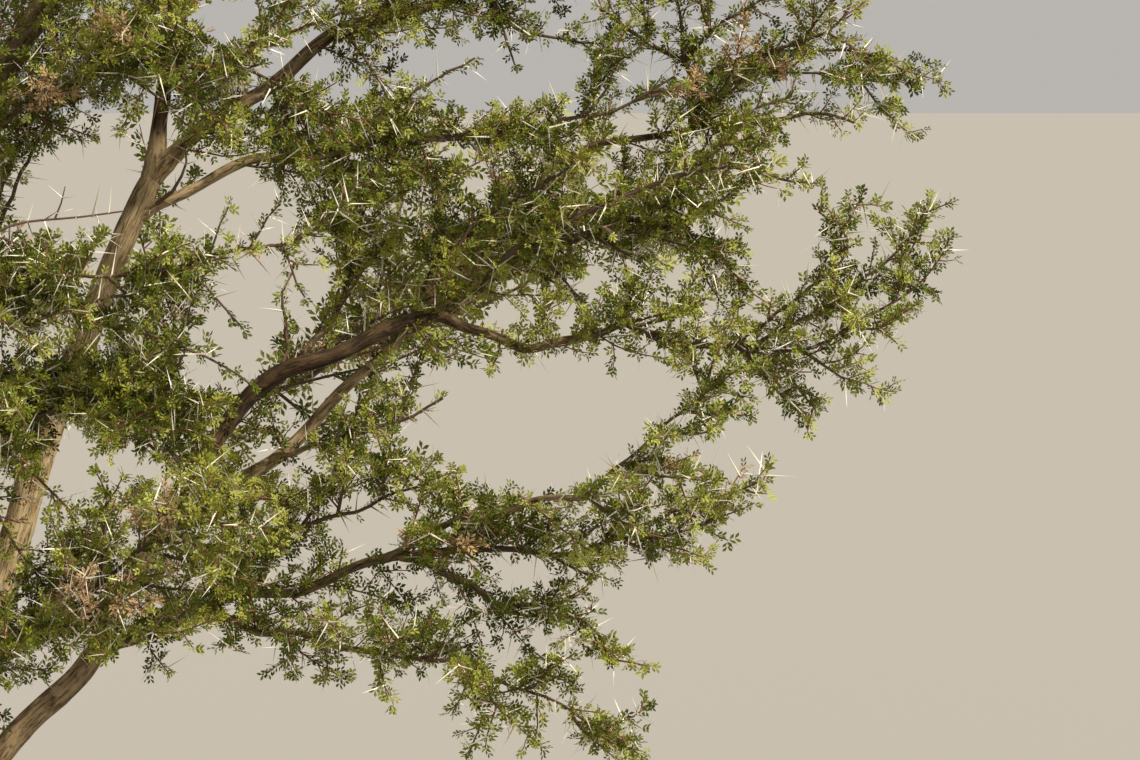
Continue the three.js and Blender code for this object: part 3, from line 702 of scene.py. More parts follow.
def spray_at(order, mass, bud, length):
    """The root, heading and length of a spray at a bud, turned or made smaller where there is no room."""
    for size in SMALLER_SIZES:
        for turned in OTHER_TURNS:
            heading = bud.heading(turned)
            middles = bud.point + heading * (length * size * SPRAY_CHECKS)[:, None]
            radii = length * size * SPRAY_WIDTH * np.minimum(SPRAY_CHECKS, 1 - SPRAY_CHECKS) + 1
            if mass.taken:
                taken = np.array(mass.taken)
                apart = np.linalg.norm(middles[:, None] - taken[:, :3], axis=2)
                if (apart <= (taken[:, 3] + radii[:, None]) * SPRAY_SPACE).any():
                    continue
            if has_room(order, middles, radii).all():
                mass.taken.extend((*middle, radius) for middle, radius in zip(middles, radii))
                return [(bud.point, heading, length * size, bud.seed)]
    return []


# Growth, as a list of twigs
class Twig:
    def __init__(self, path, radii, seed, kind, spray=None, coarse=1):
        self.path = path
        self.radii = np.linspace(*radii, len(path))
        self.seed = seed
        self.kind = kind
        self.spray = seed if spray is None else spray
        self.coarse = coarse


def smoothed(path, times=2):
    """The path with each corner cut a quarter of the way along its sides, its ends kept."""
    for _ in range(times):
        cut = np.empty((2 * len(path) - 2, 3))
        cut[0::2] = path[:-1] * 0.75 + path[1:] * 0.25
        cut[1::2] = path[:-1] * 0.25 + path[1:] * 0.75
        path = np.vstack([path[0], cut[1:-1], path[-1]])
    return path


def shoots_of(twigs, order):
    """Short side shoots along young twigs, where they have room."""
    shoots = []
    for twig in twigs:
        length = distances(twig.path)[-1]
        gap = SHOOT_GAP * twig.coarse
        for bud in buds_along(twig.path, child_seed(twig.seed, SHOOT_INDEX), gap, gap * FIRST_SHOOT):
            reach = length * SHOOT_SHARE * (1 - SHOOT_LOSS * bud.share) * bud.size
            if reach >= SHORTEST_SHOOT:
                path = twig_path(bud.point, bud.heading(), reach, bud.seed, FINE_STEP, FINE_CROOK)
                shoots.append(Twig(path, SHOOT_RADII, bud.seed, "shoot", twig.spray, twig.coarse))
    if not shoots:
        return []
    free = has_room(order, np.array([shoot.path[-1] for shoot in shoots]), 1)
    return [shoot for shoot, clear in zip(shoots, free) if clear]


def young_twigs(roots, order):
    """Young twigs from their roots, headings and lengths, each kept as far as it has room."""
    grown = []
    for root, heading, length, seed in roots:
        path = twig_path(root, heading, length, child_seed(seed, YOUNG_INDEX), FINE_STEP, FINE_CROOK)
        kept = kept_points(order, path, 1)
        if kept >= LEAST_YOUNG_POINTS:
            grown.append(Twig(path[:kept], YOUNG_RADII, seed, "young", coarse=coarse_at(root)))
    return grown


def between(path, seed, gap, length):
    """Roots for the finer twigs that grow between the larger sprays."""
    return [(bud.point, bud.heading(), length * bud.size, bud.seed)
            for bud in buds_along(path, child_seed(seed, FINE_SEED), gap, gap * FIRST_BETWEEN)]


def coarse_at(point):
    """How much wider apart the leaves are at a point: finest where the front shows them."""
    across, height = looks(point[None])[0]
    return 1 if across > FINE_FROM and height < FINE_TO and point[1] < FINE_DEPTH else COARSER


def grow_mass(order, mass):
    coarse = coarse_at(mass.spine[len(mass.spine) // 2])
    closer = CLOSER.get(mass.name, 1)
    between_gap = BETWEEN_GAP * coarse * closer
    spine, reach, seed = mass.spine, mass.reach, mass.seed
    gap = clamp(reach * BUD_GAP, *BUD_GAP_RANGE)
    side_twigs = []
    for bud in buds_along(spine, seed, gap, gap * FIRST_BUD):
        length = reach * fullness(bud.share) * bud.size
        path = kept_twig(order, bud, length)
        mass.taken.extend((*point, TWIG_BUTT) for point in path[1:])
        side_twigs.append((bud, length, path, clamp(length * SPRAY_LENGTH, SHORTEST_SPRAY, LONGEST_SPRAY)))
    stem = Twig(mass.fine, (mass.butt, SPINE_END), seed, "stem", coarse=coarse)
    thinning = (1 - np.linspace(0, 1, len(stem.path))) ** SPINE_TAPER
    stem.radii = SPINE_END + (mass.butt - SPINE_END) * thinning
    old, roots = [stem], []

    def add_old(path, bud):
        old.append(Twig(smoothed(path), OLD_RADII, bud.seed, "old", coarse=coarse))

    for bud, length, path, spray in side_twigs:
        if len(path) < 2:
            roots += spray_at(order, mass, bud, spray)
            continue
        mass.taken.remove((*path[-1], TWIG_BUTT))
        add_old(path, bud)
        roots += spray_at(order, mass, TipBud(path, child_seed(bud.seed, TIP_INDEX)), spray)
        spray_gap = clamp(length * SPRAY_GAP, *SPRAY_GAP_RANGE)
        for side in buds_along(path, bud.seed, spray_gap, spray_gap * FIRST_SPRAY):
            roots += spray_at(order, mass, side, spray * side.size)
        roots += between(path, bud.seed, between_gap, BETWEEN_LENGTH)
    roots += spray_at(order, mass, TipBud(spine, seed), min(LONGEST_SPRAY, reach * SPRAY_LENGTH))
    roots += between(spine, seed, between_gap, reach * CORE_LENGTH)
    for bud in buds_along(spine, child_seed(seed, FINE_SEED + 1), gap * closer / coarse, gap * FILL_PLACE):
        path = kept_twig(order, bud, reach * FILL_LENGTH * fullness(bud.share) * bud.size)
        if len(path) > 1:
            add_old(path, bud)
            roots += between(path, bud.seed, between_gap, BETWEEN_LENGTH)
    young = young_twigs(roots, order)
    return old + young + shoots_of(young, order)


def grow_on_limb(name, limb):
    """Twigs straight from the thinner wood of a limb, but for its bare stretch."""
    roots = []
    path = limb.points
    gap = LIMB_TWIG_GAP * CLOSER.get(name, 1)
    thickest = LONGER_THICKEST if name in LONGER else LIMB_TWIG_THICKEST
    length = LIMB_TWIG_LENGTH * LONGER.get(name, 1)
    for bud in buds_along(path, child_seed(limb.seed, LIMB_TWIG_SEED), gap, gap):
        radius = radius_at(limb, bud.share)
        bare = limb.bare and limb.bare[0] < bud.share < limb.bare[1]
        if radius < thickest and not bare:
            root = bud.point + bud.heading() * (radius + LIMB_TWIG_START)
            roots.append((root, bud.heading(), length * bud.size, bud.seed))
    young = young_twigs(roots, None)
    for twig in young:
        twig.path = np.vstack([twig.path[0] * 2 - twig.path[1], twig.path])
        twig.radii = np.concatenate([[YOUNG_RADII[0] * LIMB_TWIG_COLLAR], twig.radii])
    return young + shoots_of(young, None)


def dry_twig(order, limb, share, middle, tip):
    """A bare twig with a few bare side twigs."""
    start = along(limbs[limb].points, share)[0]
    seed = child_seed(DRY_SEED, order)
    path = waver_path(start, seen(middle), seen(tip), seed, FINE_STEP)
    twigs = [Twig(path, DRY_RADII, seed, "dry")]
    for bud in buds_along(path, seed, DRY_GAP, DRY_GAP * 2):
        side = twig_path(bud.point, bud.heading(), DRY_LENGTH * bud.size, bud.seed, FINE_STEP, FINE_CROOK)
        twigs.append(Twig(side, DRY_SIDE_RADII, bud.seed, "dry"))
    return twigs


twig_paths = {name: limb.fine for name, limb in limbs.items()}
twig_paths.update((mass.name, mass.fine) for mass in masses)
withered = set()


def seen_twig(order, row):
    """A twig through places that the front shows, with short leafy twigs all along."""
    name, parent, share, butt, tip, depth, places = row
    start = along(twig_paths[parent], share)[0]
    seed = child_seed(SEEN_SEED, order)
    path = smoothed(np.array([start] + [seen((*place, depth)) for place in places]))
    length = distances(path)[-1]
    path = points_at(path, np.linspace(0, length, max(3, rounded(length / SEEN_STEP))))
    path[1:] += (np.random.default_rng(seed).random((len(path) - 1, 3)) - 0.5) * SEEN_CROOK
    twig_paths[name] = path
    young = young_twigs(between(path, seed, SEEN_GAP, SEEN_LENGTH), None)
    if name in WITHERED:
        withered.add(seed)
        for side in young:
            side.spray = seed
    return [Twig(path, (butt, tip), seed, "old")] + young + shoots_of(young, None)


growth = []
for order, seen_row in enumerate(SEEN_TWIGS):
    growth += seen_twig(order, seen_row)
for order, dry_row in enumerate(DRY_TWIGS):
    growth += dry_twig(order, *dry_row)
for order, foliage in enumerate(masses):
    growth += grow_mass(order, foliage)
for limb_name, limb in limbs.items():
    growth += grow_on_limb(limb_name, limb)


def nodes_along(twig, gap, first, chance):
    """Points, headings and side directions of the nodes along a twig."""
    far = distances(twig.path)
    place = np.arange(first, far[-1], gap)
    points = points_at(twig.path, place)
    ahead = tangents(twig.path)[np.minimum(np.searchsorted(far, place), len(far) - 1)]
    turn = np.arange(len(place)) * GOLDEN_ANGLE + chance.random(len(place)) * NODE_TURN + twig.seed % 7
    flat = np.where(np.abs(ahead[:, 2:]) > STEEP, (1.0, 0, 0), (0, 0, 1.0))
    right = np.cross(ahead, flat)
    right /= np.linalg.norm(right, axis=1)[:, None]
    up = np.cross(right, ahead)
    out = right * np.cos(turn)[:, None] + up * np.sin(turn)[:, None]
    return points, ahead, out, place / far[-1]


# Colours of leaves by spray, deepest first, with the share of sprays that take each: deep, green and olive
# are dealt out at random by spray, and deep is a darker copy of the leaf green that is partly painted
# shade
LEAF_TONES = {
    "deep": ((0.096, 0.120, 0.011), 0.27),
    "green": ((0.185, 0.218, 0.022), 0.35),
    "olive": ((0.275, 0.292, 0.040), 0.27),
    "fresh": ((0.400, 0.425, 0.095), 0.08),
    "straw": ((0.450, 0.310, 0.160), 0.03),
}
NEW_GROWTH = 0.7
NEW_GROWTH_SHARE = 0.17
TONE_NAMES = tuple(LEAF_TONES)
TONE_ENDS = np.cumsum([share for _, share in LEAF_TONES.values()])

tufts = {tone: [] for tone in LEAF_TONES}
# Thorns by colour: pale ones, and dark old ones that are partly painted shade
thorns = {"pale": [], "old": []}


def tone_of(spray):
    if spray in withered:
        return "straw"
    drawn = draws(child_seed(spray, TONE_INDEX))() * TONE_ENDS[-1]
    return TONE_NAMES[int(np.searchsorted(TONE_ENDS, drawn))]


def add_tufts(twig, chance):
    gap = (OLD_TUFT_GAP if twig.kind in ("stem", "old") else TUFT_GAP) * twig.coarse
    points, ahead, out, share = nodes_along(twig, gap, gap * FIRST_TUFT, chance)
    lean = TUFT_LEAN * (1 - TUFT_LEAN_LOSS * share ** 2)
    heading = ahead * np.cos(lean)[:, None] + out * np.sin(lean)[:, None]
    surface = points + out * radius_at(twig, share)[:, None] * TUFT_HOLD
    larger = 1 if twig.coarse == 1 else LARGER
    size = (LEAST_TUFT + TUFT_RANGE * chance.random(len(points))) * larger
    tip = np.concatenate([twig.path[-1], tangents(twig.path)[-1], [larger]])
    rows = np.vstack([np.column_stack([surface, heading, size]), tip])
    new = np.append(share, 1) > NEW_GROWTH
    if twig.kind in ("young", "shoot") and chance.random() < NEW_GROWTH_SHARE:
        tufts["fresh"].append(rows[new])
        rows = rows[~new]
    tufts[tone_of(twig.spray)].append(rows)


def add_thorns(twig, chance):
    points, ahead, out, _ = nodes_along(twig, THORN_GAP, THORN_GAP * FIRST_THORN, chance)
    often = YOUNG_THORN_SHARE if twig.kind == "young" else OLD_THORN_SHARE
    kept = chance.random(len(points)) < often
    side = np.cross(ahead, out)
    for hand in (-1, 1):
        spread = out * THORN_OUTWARD + side * hand * THORN_ASIDE
        lean = THORN_LEAN + THORN_LEAN_RANGE * (chance.random(len(points)) - 0.5)
        heading = ahead * np.cos(lean)[:, None] + spread * np.sin(lean)[:, None]
        long = SHORT_THORN + (LONG_THORN - SHORT_THORN) * chance.random(len(points)) ** 0.5
        rows = np.column_stack([points, heading, long])[kept]
        # A share of the thorns takes the dark colour, partly old thorns and partly painted shade
        thorns["old" if chance.random() < WEATHERED_AND_SHADED_THORNS else "pale"].append(rows)


def add_star(order, place):
    """Long thorns all round the node that lies in front at a place."""
    points = np.vstack([twig.path[1:-1] for twig in growth if twig.kind != "shoot"])
    away = np.linalg.norm(looks(points) - place, axis=1)
    near = points[away < max(STAR_REACH, away.min() + 1)]
    chance = np.random.default_rng(child_seed(STAR_SEED, order))
    heading = chance.normal(size=(STAR_THORNS, 3)) * STAR_SHAPE
    heading /= np.linalg.norm(heading, axis=1)[:, None]
    length = LONG_THORN * (LEAST_STAR + (1 - LEAST_STAR) * chance.random(STAR_THORNS))
    middle = np.tile(near[np.argmin(near[:, 1])], (STAR_THORNS, 1))
    thorns["pale"].append(np.column_stack([middle, heading, length]))


for order, star_place in enumerate(THORN_STARS):
    add_star(order, star_place)
for twig in growth:
    luck = np.random.default_rng(twig.seed)
    if twig.kind != "dry":
        add_tufts(twig, luck)
    if twig.kind != "shoot":
        add_thorns(twig, luck)


# Node trees: one class wraps a socket, so that maths on it is written as an expression
class Wire:
    def __init__(self, graph, socket):
        self.graph = graph
        self.socket = socket

    def maths(self, operation, *values):
        return self.graph.made("ShaderNodeMath", dict(enumerate(values)), operation=operation)

    def absolute(self):
        return self.maths("ABSOLUTE", self)

    def at_most(self, value):
        return self.maths("MINIMUM", self, value)

    def __add__(self, other):
        return self.maths("ADD", self, other)

    def __sub__(self, other):
        return self.maths("SUBTRACT", self, other)

    def __rsub__(self, other):
        return self.maths("SUBTRACT", other, self)

    def __mul__(self, other):
        return self.maths("MULTIPLY", self, other)


class Graph:
    def __init__(self, tree):
        self.tree = tree

    def node(self, kind, values=None, **settings):
        made = self.tree.nodes.new(kind)
        for key, value in settings.items():
            setattr(made, key, value)
        for key, value in (values or {}).items():
            if isinstance(value, Wire):
                self.tree.links.new(value.socket, made.inputs[key])
            else:
                made.inputs[key].default_value = value
        return made

    def made(self, kind, values=None, output=0, **settings):
        return Wire(self, self.node(kind, values, **settings).outputs[output])


class Recipe(Graph):
    """A geometry tree with named inputs, which makes a plain mesh of points that carry values."""

    def __init__(self, name, **inputs):
        super().__init__(bpy.data.node_groups.new(name, "GeometryNodeTree"))
        self.keys = {}
        for label, kind in (("Geometry", "Geometry"), *inputs.items(), ("Material", "Material")):
            socket = self.tree.interface.new_socket(label, in_out="INPUT", socket_type="NodeSocket" + kind)
            self.keys[label] = socket.identifier
        self.tree.interface.new_socket("Geometry", in_out="OUTPUT", socket_type="NodeSocketGeometry")
        group = self.node("NodeGroupInput")
        self.given = {label: Wire(self, group.outputs[label]) for label in self.keys}

    def value_of(self, name, kind="FLOAT"):
        return self.made("GeometryNodeInputNamedAttribute", {"Name": name}, data_type=kind)

    def vectors(self, operation, *values, **named):
        return self.made("ShaderNodeVectorMath", {**dict(enumerate(values)), **named}, operation=operation)

    def end(self, geometry):
        realized = self.made("GeometryNodeRealizeInstances", {"Geometry": geometry})
        painted = self.made("GeometryNodeSetMaterial",
                            {"Geometry": realized, "Material": self.given["Material"]})
        self.node("NodeGroupOutput", {"Geometry": painted})

    def grow(self, name, mesh, **values):
        """The mesh that the tree makes of some points, as an object."""
        made = linked(name, mesh)
        change = made.modifiers.new(name, "NODES")
        change.node_group = self.tree
        for label, value in values.items():
            change[self.keys[label]] = value
        graph = bpy.context.evaluated_depsgraph_get()
        result = bpy.data.meshes.new_from_object(made.evaluated_get(graph), depsgraph=graph)
        made.modifiers.clear()
        made.data = result
        return made


def twig_recipe():
    recipe = Recipe("twigs", Sides="Int")
    curves = recipe.made("GeometryNodeMeshToCurve", {"Mesh": recipe.given["Geometry"]})
    ring = recipe.made("GeometryNodeCurvePrimitiveCircle",
                       {"Resolution": recipe.given["Sides"], "Radius": 1.0})
    recipe.end(recipe.made("GeometryNodeCurveToMesh", {
        "Curve": curves, "Profile Curve": ring, "Scale": recipe.value_of("radius"), "Fill Caps": True}))
    return recipe


def spread_recipe():
    """Places pieces, each turned from its point's heading by chance, several to a point."""
    recipe = Recipe("spread", Piece="Object", Pieces="Int", Spread="Float", Upward="Float", Least="Float",
                    Seed="Int")
    given = recipe.given

    def chance(shift, low=(-1, -1, -1), high=(1, 1, 1), kind="FLOAT_VECTOR", first=0):
        values = {first: low, first + 1: high, "Seed": given["Seed"] + shift}
        return recipe.made("FunctionNodeRandomValue", values, first // 2, data_type=kind)

    copies = recipe.made("GeometryNodeDuplicateElements",
                         {"Geometry": given["Geometry"], "Amount": given["Pieces"]}, domain="POINT")
    aside = recipe.vectors("SCALE", chance(1), Scale=given["Spread"])
    ahead = recipe.vectors("ADD", recipe.value_of("heading", "FLOAT_VECTOR"), aside)
    up = recipe.made("ShaderNodeCombineXYZ", {"Z": given["Upward"]})
    turn = recipe.made("FunctionNodeAxesToRotation",
                       {"Primary Axis": ahead, "Secondary Axis": recipe.vectors("ADD", chance(2), up)},
                       primary_axis="X", secondary_axis="Z")
    recipe.end(recipe.made("GeometryNodeInstanceOnPoints", {
        "Points": copies, "Rotation": turn,
        "Instance": recipe.made("GeometryNodeObjectInfo", {"Object": given["Piece"]}, "Geometry"),
        "Scale": recipe.value_of("size") * chance(3, given["Least"], 1.0, "FLOAT", 2)}))
    return recipe


def linked(name, data):
    """A new object in the scene."""
    made = bpy.data.objects.new(name, data)
    bpy.context.scene.collection.objects.link(made)
    return made


def mesh_of(name, points, edges=(), faces=(), material=None, **values):
    """A mesh in metres, with an attribute for each named value of its points."""
    mesh = bpy.data.meshes.new(name)
    mesh.from_pydata(points, edges, faces)
    for key, value in values.items():
        kind, field = ("FLOAT", "value") if value.ndim == 1 else ("FLOAT_VECTOR", "vector")
        mesh.attributes.new(key, kind, "POINT").data.foreach_set(field, value.ravel())
    if material:
        mesh.materials.append(material)
    return mesh


# Materials
def plain(name, color, roughness, gloss=0.5):
    """A finish with one colour all over."""
    material = bpy.data.materials.new(name)
    material.use_nodes = True
    finish = material.node_tree.nodes["Principled BSDF"]
    finish.inputs["Base Color"].default_value = (*color, 1)
    finish.inputs["Roughness"].default_value = roughness
    finish.inputs["Specular IOR Level"].default_value = gloss
    return material


# Noise along the bark: its stretch lengthwise, its scale and its detail
FIBRES = (0.13, 170, 5)
PLATES = (0.4, 62, 4)
BLOTCHES = (0.6, 9, 2)
CRACKS = (0.16, 95, 3)
CRACK_SHARPNESS = 20
# Colours of dark and pale bark by height, from its cracks to its ridges: the dark cracks are partly
# painted shade and the pale ridges partly a painted highlight
DARK_BARK = ((0.46, (0.014, 0.007, 0.002)), (0.62, (0.042, 0.022, 0.008)), (0.84, (0.112, 0.065, 0.026)))
PALE_BARK = ((0.44, (0.088, 0.055, 0.021)), (0.6, (0.325, 0.226, 0.104)), (0.84, (0.660, 0.500, 0.285)))
WEATHERED_BARK = (0.190, 0.155, 0.090, 1)


def bark_material():
    """Fibrous grey-brown bark, dark in its furrows as partly painted shade, paler on its ridges as a
    partly painted highlight, and paler on some boughs, partly as painted light.
    """
    material = bpy.data.materials.new("bark")
    material.use_nodes = True
    graph = Graph(material.node_tree)
    finish = material.node_tree.nodes["Principled BSDF"]
    wrap = graph.made("ShaderNodeUVMap", uv_map="wrap")
    pale = graph.made("ShaderNodeAttribute", output="Fac", attribute_name="pale")
    furrow = graph.made("ShaderNodeAttribute", output="Fac", attribute_name="furrow")

    def grain(lengthwise, scale, detail):
        stretched = graph.made("ShaderNodeMapping", {"Vector": wrap, "Scale": (1, lengthwise, 1)})
        return graph.made("ShaderNodeTexNoise", {
            "Vector": stretched, "Scale": scale, "Detail": detail, "Roughness": 0.6})

    def ramp(value, stops):
        node = graph.node("ShaderNodeValToRGB", {"Fac": value})
        ends = node.color_ramp.elements
        while len(ends) < len(stops):
            ends.new(0.5)
        for end, (place, color) in zip(ends, stops):
            end.position = place
            end.color = (*color, 1)
        return Wire(graph, node.outputs[0])

    def mix(factor, first, second):
        return graph.made("ShaderNodeMix", {"Factor": factor, 6: first, 7: second}, 2, data_type="RGBA")

    cracks = ((grain(*CRACKS) - 0.5).absolute() * CRACK_SHARPNESS).at_most(1)
    height = furrow * 0.3 + grain(*FIBRES) * 0.6 + grain(*PLATES) * 0.45 + cracks * 0.24 - 0.2
    # Relief becomes colour: dark cracks are partly painted shade, pale ridges partly a painted highlight,
    # and the pale value by limb partly painted light
    clean = mix(pale, ramp(height, DARK_BARK), ramp(height, PALE_BARK))
    weathered = mix(grain(*BLOTCHES) * pale * 0.4, clean, WEATHERED_BARK)
    bump = graph.made("ShaderNodeBump", {"Strength": 0.7, "Distance": 0.003, "Height": height})
    for wire, entry in ((weathered, "Base Color"), (0.95 - furrow * 0.12, "Roughness"), (bump, "Normal")):
        material.node_tree.links.new(wire.socket, finish.inputs[entry])
    return material


BARK = bark_material()
OLD_TWIG = plain("twig_bark", (0.110, 0.062, 0.038), 0.8)
YOUNG_TWIG = plain("young_twig_bark", (0.190, 0.078, 0.038), 0.7)
SHOOT_BARK = plain("shoot_bark", (0.260, 0.115, 0.045), 0.7)
THORN_PALE = plain("pale_thorn", (0.930, 0.880, 0.740), 0.35)
# Dark brown thorns: partly old weathered thorns, partly painted shade
THORN_OLD_AND_SHADED = plain("old_and_shaded_thorn", (0.360, 0.260, 0.170), 0.5)


# Bark, as one relief mesh for the trunk and one for the boughs: its ridges, furrows and nubs
RIDGE_WIDTH = 11
RIDGE_LENGTH = 48
FINE_RIDGE_LENGTH = 22
WANDER = 1.2
WANDER_LENGTH = 70
RIDGE_DEPTH = 0.9
FINE_RIDGE_DEPTH = 0.25
NUB_START = 0.84
NUB_HEIGHT = 11
NUB_LENGTH = 17
END_FURROW = 0.5
END_WRAP = 0.01


def lattice(around, lengthwise, cells, chance):
    """Smooth noise that closes round a limb: around runs from 0 to 1, lengthwise counts cells."""
    grid = chance.random((int(lengthwise.max()) + 3, cells))
    row, column = np.floor(lengthwise).astype(int), np.floor(around * cells).astype(int)
    down, over = eased(lengthwise - row), eased(around * cells - column)
    first, second = column % cells, (column + 1) % cells
    above, below = (grid[line, first] * (1 - over) + grid[line, second] * over for line in (row, row + 1))
    return above * (1 - down) + below * down


def furrows(around, distance, radius, chance):
    """Long wandering ridges and furrows, 0 deep to 1 high, with a few nubs above them."""
    cells = max(5, rounded(2 * math.pi * radius / RIDGE_WIDTH))
    wander = lattice(around, distance / WANDER_LENGTH, max(3, cells // 3), chance) * WANDER / cells
    ridges = lattice((around + wander) % 1, distance / RIDGE_LENGTH, cells, chance)
    fine = lattice((around + wander) % 1, distance / FINE_RIDGE_LENGTH, cells * 2, chance)
    nubs = np.clip(lattice(around, distance / NUB_LENGTH, cells, chance) - NUB_START, 0, 1) * NUB_HEIGHT
    return np.clip(1 - np.abs(2 * ridges - 1) * RIDGE_DEPTH - FINE_RIDGE_DEPTH * fine, 0, 1) + nubs


def domed(left):
    """How much of its radius an end keeps where this share of its rounded length is left."""
    return np.sqrt(1 - (1 - np.clip(left, 0.01, 1)) ** 2)


class Skin:
    """Closed tubes that become one mesh with a wrap map and the bark's own values."""

    def __init__(self):
        self.points, self.faces, self.wraps, self.pale, self.furrow = [], [], [], [], []

    def add(self, rings, place, radius, pale, furrow):
        """Adds a tube: its rings, how far along each lies, its radius, paleness by ring and relief."""
        rows, sides = rings.shape[:2]
        index = len(self.points) + np.arange(rows * sides).reshape(rows, sides)
        beside = np.roll(index, -1, axis=1)
        girth = 2 * math.pi * radius * MILLIMETRE
        wrap = np.stack(np.meshgrid(np.arange(sides + 1) / sides * girth, place * MILLIMETRE), axis=2)
        self.points.extend(rings.reshape(-1, 3))
        self.pale.extend(np.repeat(pale, sides))
        self.furrow.extend(furrow.ravel())
        quads = np.stack([index[:-1], beside[:-1], beside[1:], index[1:]], axis=2)
        self.faces.extend(quads.reshape(-1, 4))
        self.wraps.append(np.stack([wrap[:-1, :-1], wrap[:-1, 1:], wrap[1:, 1:], wrap[1:, :-1]], axis=2))
        for ring, way in ((0, -1), (-1, 1)):
            fan = (index[ring], beside[ring])[::way]
            self.faces.extend(np.stack([*fan, np.full(sides, len(self.points))], axis=1))
            self.points.append(rings[ring].mean(0))
            self.pale.append(pale[ring])
            self.furrow.append(END_FURROW)
            edge = wrap[ring]
            self.wraps.append(np.stack([edge[:-1], edge[1:], edge[:-1] + (0, END_WRAP)], axis=1))

    def object(self, name):
        mesh = mesh_of(name, np.array(self.points) * MILLIMETRE, faces=self.faces, material=BARK,
                       pale=np.array(self.pale), furrow=np.array(self.furrow))
        wraps = np.concatenate([part.ravel() for part in self.wraps])
        mesh.uv_layers.new(name="wrap").data.foreach_set("uv", wraps)
        mesh.shade_smooth()
        mesh.validate()
        return linked(name, mesh)


def carried_frames(path):
    """Two directions square to the path at each point, carried along without a twist."""
    headings = tangents(path)
    normal, _ = sideways(headings[0])
    firsts = []
    for heading in headings:
        normal = unit(normal - heading * (normal @ heading))
        firsts.append(normal)
    firsts = np.array(firsts)
    return firsts, np.cross(firsts, headings)


# How pale each limb's bark is, from 0 to 1, and how soon it pales past what the limb leaves: partly each
# limb's own bark tone, partly painted light, with limbs that stand in shade, such as middle_bough and
# high_leader, painted dark
PALE_LIMBS = {"pale_bough": 1, "right_low_stem": 0.4, "leader_stem": 0.35, "high_bough": 0.3,
              "right_high_stem": 0.85, "middle_bough": 0, "pale_side_bough": 0.7, "level_bough": 0.75,
              "high_leader": 0.05}
TRUNK_PALE = 0.3
OTHER_PALE = 0.25
PALE_REACH = 7
STEM_PALE_REACH = 24

# Where a limb begins: its swollen collar, and its start inside what it leaves
COLLAR = 0.45
STEM_COLLAR = 0.22
COLLAR_FADE = 1.6
ROOT_LENGTH = 2.6
ROOT_POINTS = 12
ROOT_GROWN = 0.8
BEND_REACH = 2.5
BEND_BLEND = 0.4
TRUNK_ROOT = 150
ROOT_START = 0.35
FORKED = 0.94
FORK_FIT = 0.95
ROUNDED_END = 1.4

# Rings, sides, knots and relief of the skin
LEAST_RINGS = 8
RING_STEP = 0.45
RING_STEP_RANGE = (7, 12)
SIDE_WIDTH = 6.5
SIDES_RANGE = (8, 34)
KNOT_GAP = 3.2
LEAST_KNOT = 0.96
KNOT_SIZE = 0.1
RELIEF = 0.1
LEAST_RELIEF = 0.5
RELIEF_MIDDLE = 0.6
TRUNK_RELIEF = 7
TRUNK_RELIEF_MIDDLE = 0.7
TRUNK_DOME = 2.4
TRUNK_SIDES = 110
TRUNK_ROWS = 66


def sunk_path(limb, step):
    """The limb's path, begun inside what it leaves and bent away from it, and how long that start is."""
    start = limb.fine[0]
    if limb.parent == "trunk":
        height = start[2] - TRUNK_ROOT
        foot = np.array([FORK_LEAN * (height / FORK_HEIGHT) ** LEAN_POWER + start[0] - FORK_LEAN,
                         start[1], height])
        root = foot + (start - foot) * np.linspace(0, 1, ROOT_POINTS)[:-1, None]
    else:
        parent = limbs[limb.parent]
        length = distances(parent.fine)[-1]
        back = min(limb.share, ROOT_LENGTH * radius_at(parent, limb.share) / length)
        shares = np.linspace(limb.share - back, limb.share, ROOT_POINTS)[:-1]
        root = np.array([along(parent.fine, share)[0] for share in shares])
    path = np.vstack([root, limb.fine])
    far = distances(path)
    sunk = far[len(root)]
    place = np.linspace(0, far[-1], max(LEAST_RINGS, rounded(far[-1] / step)))
    path = points_at(path, place)
    bend = min(len(path) - 2, rounded(BEND_REACH * sunk / place[1]))
    for _ in range(rounded(2 * (BEND_BLEND * sunk / place[1]) ** 2)):
        path[1:bend] = (path[:bend - 1] + 2 * path[1:bend] + path[2:bend + 1]) / 4
    return path, place, sunk


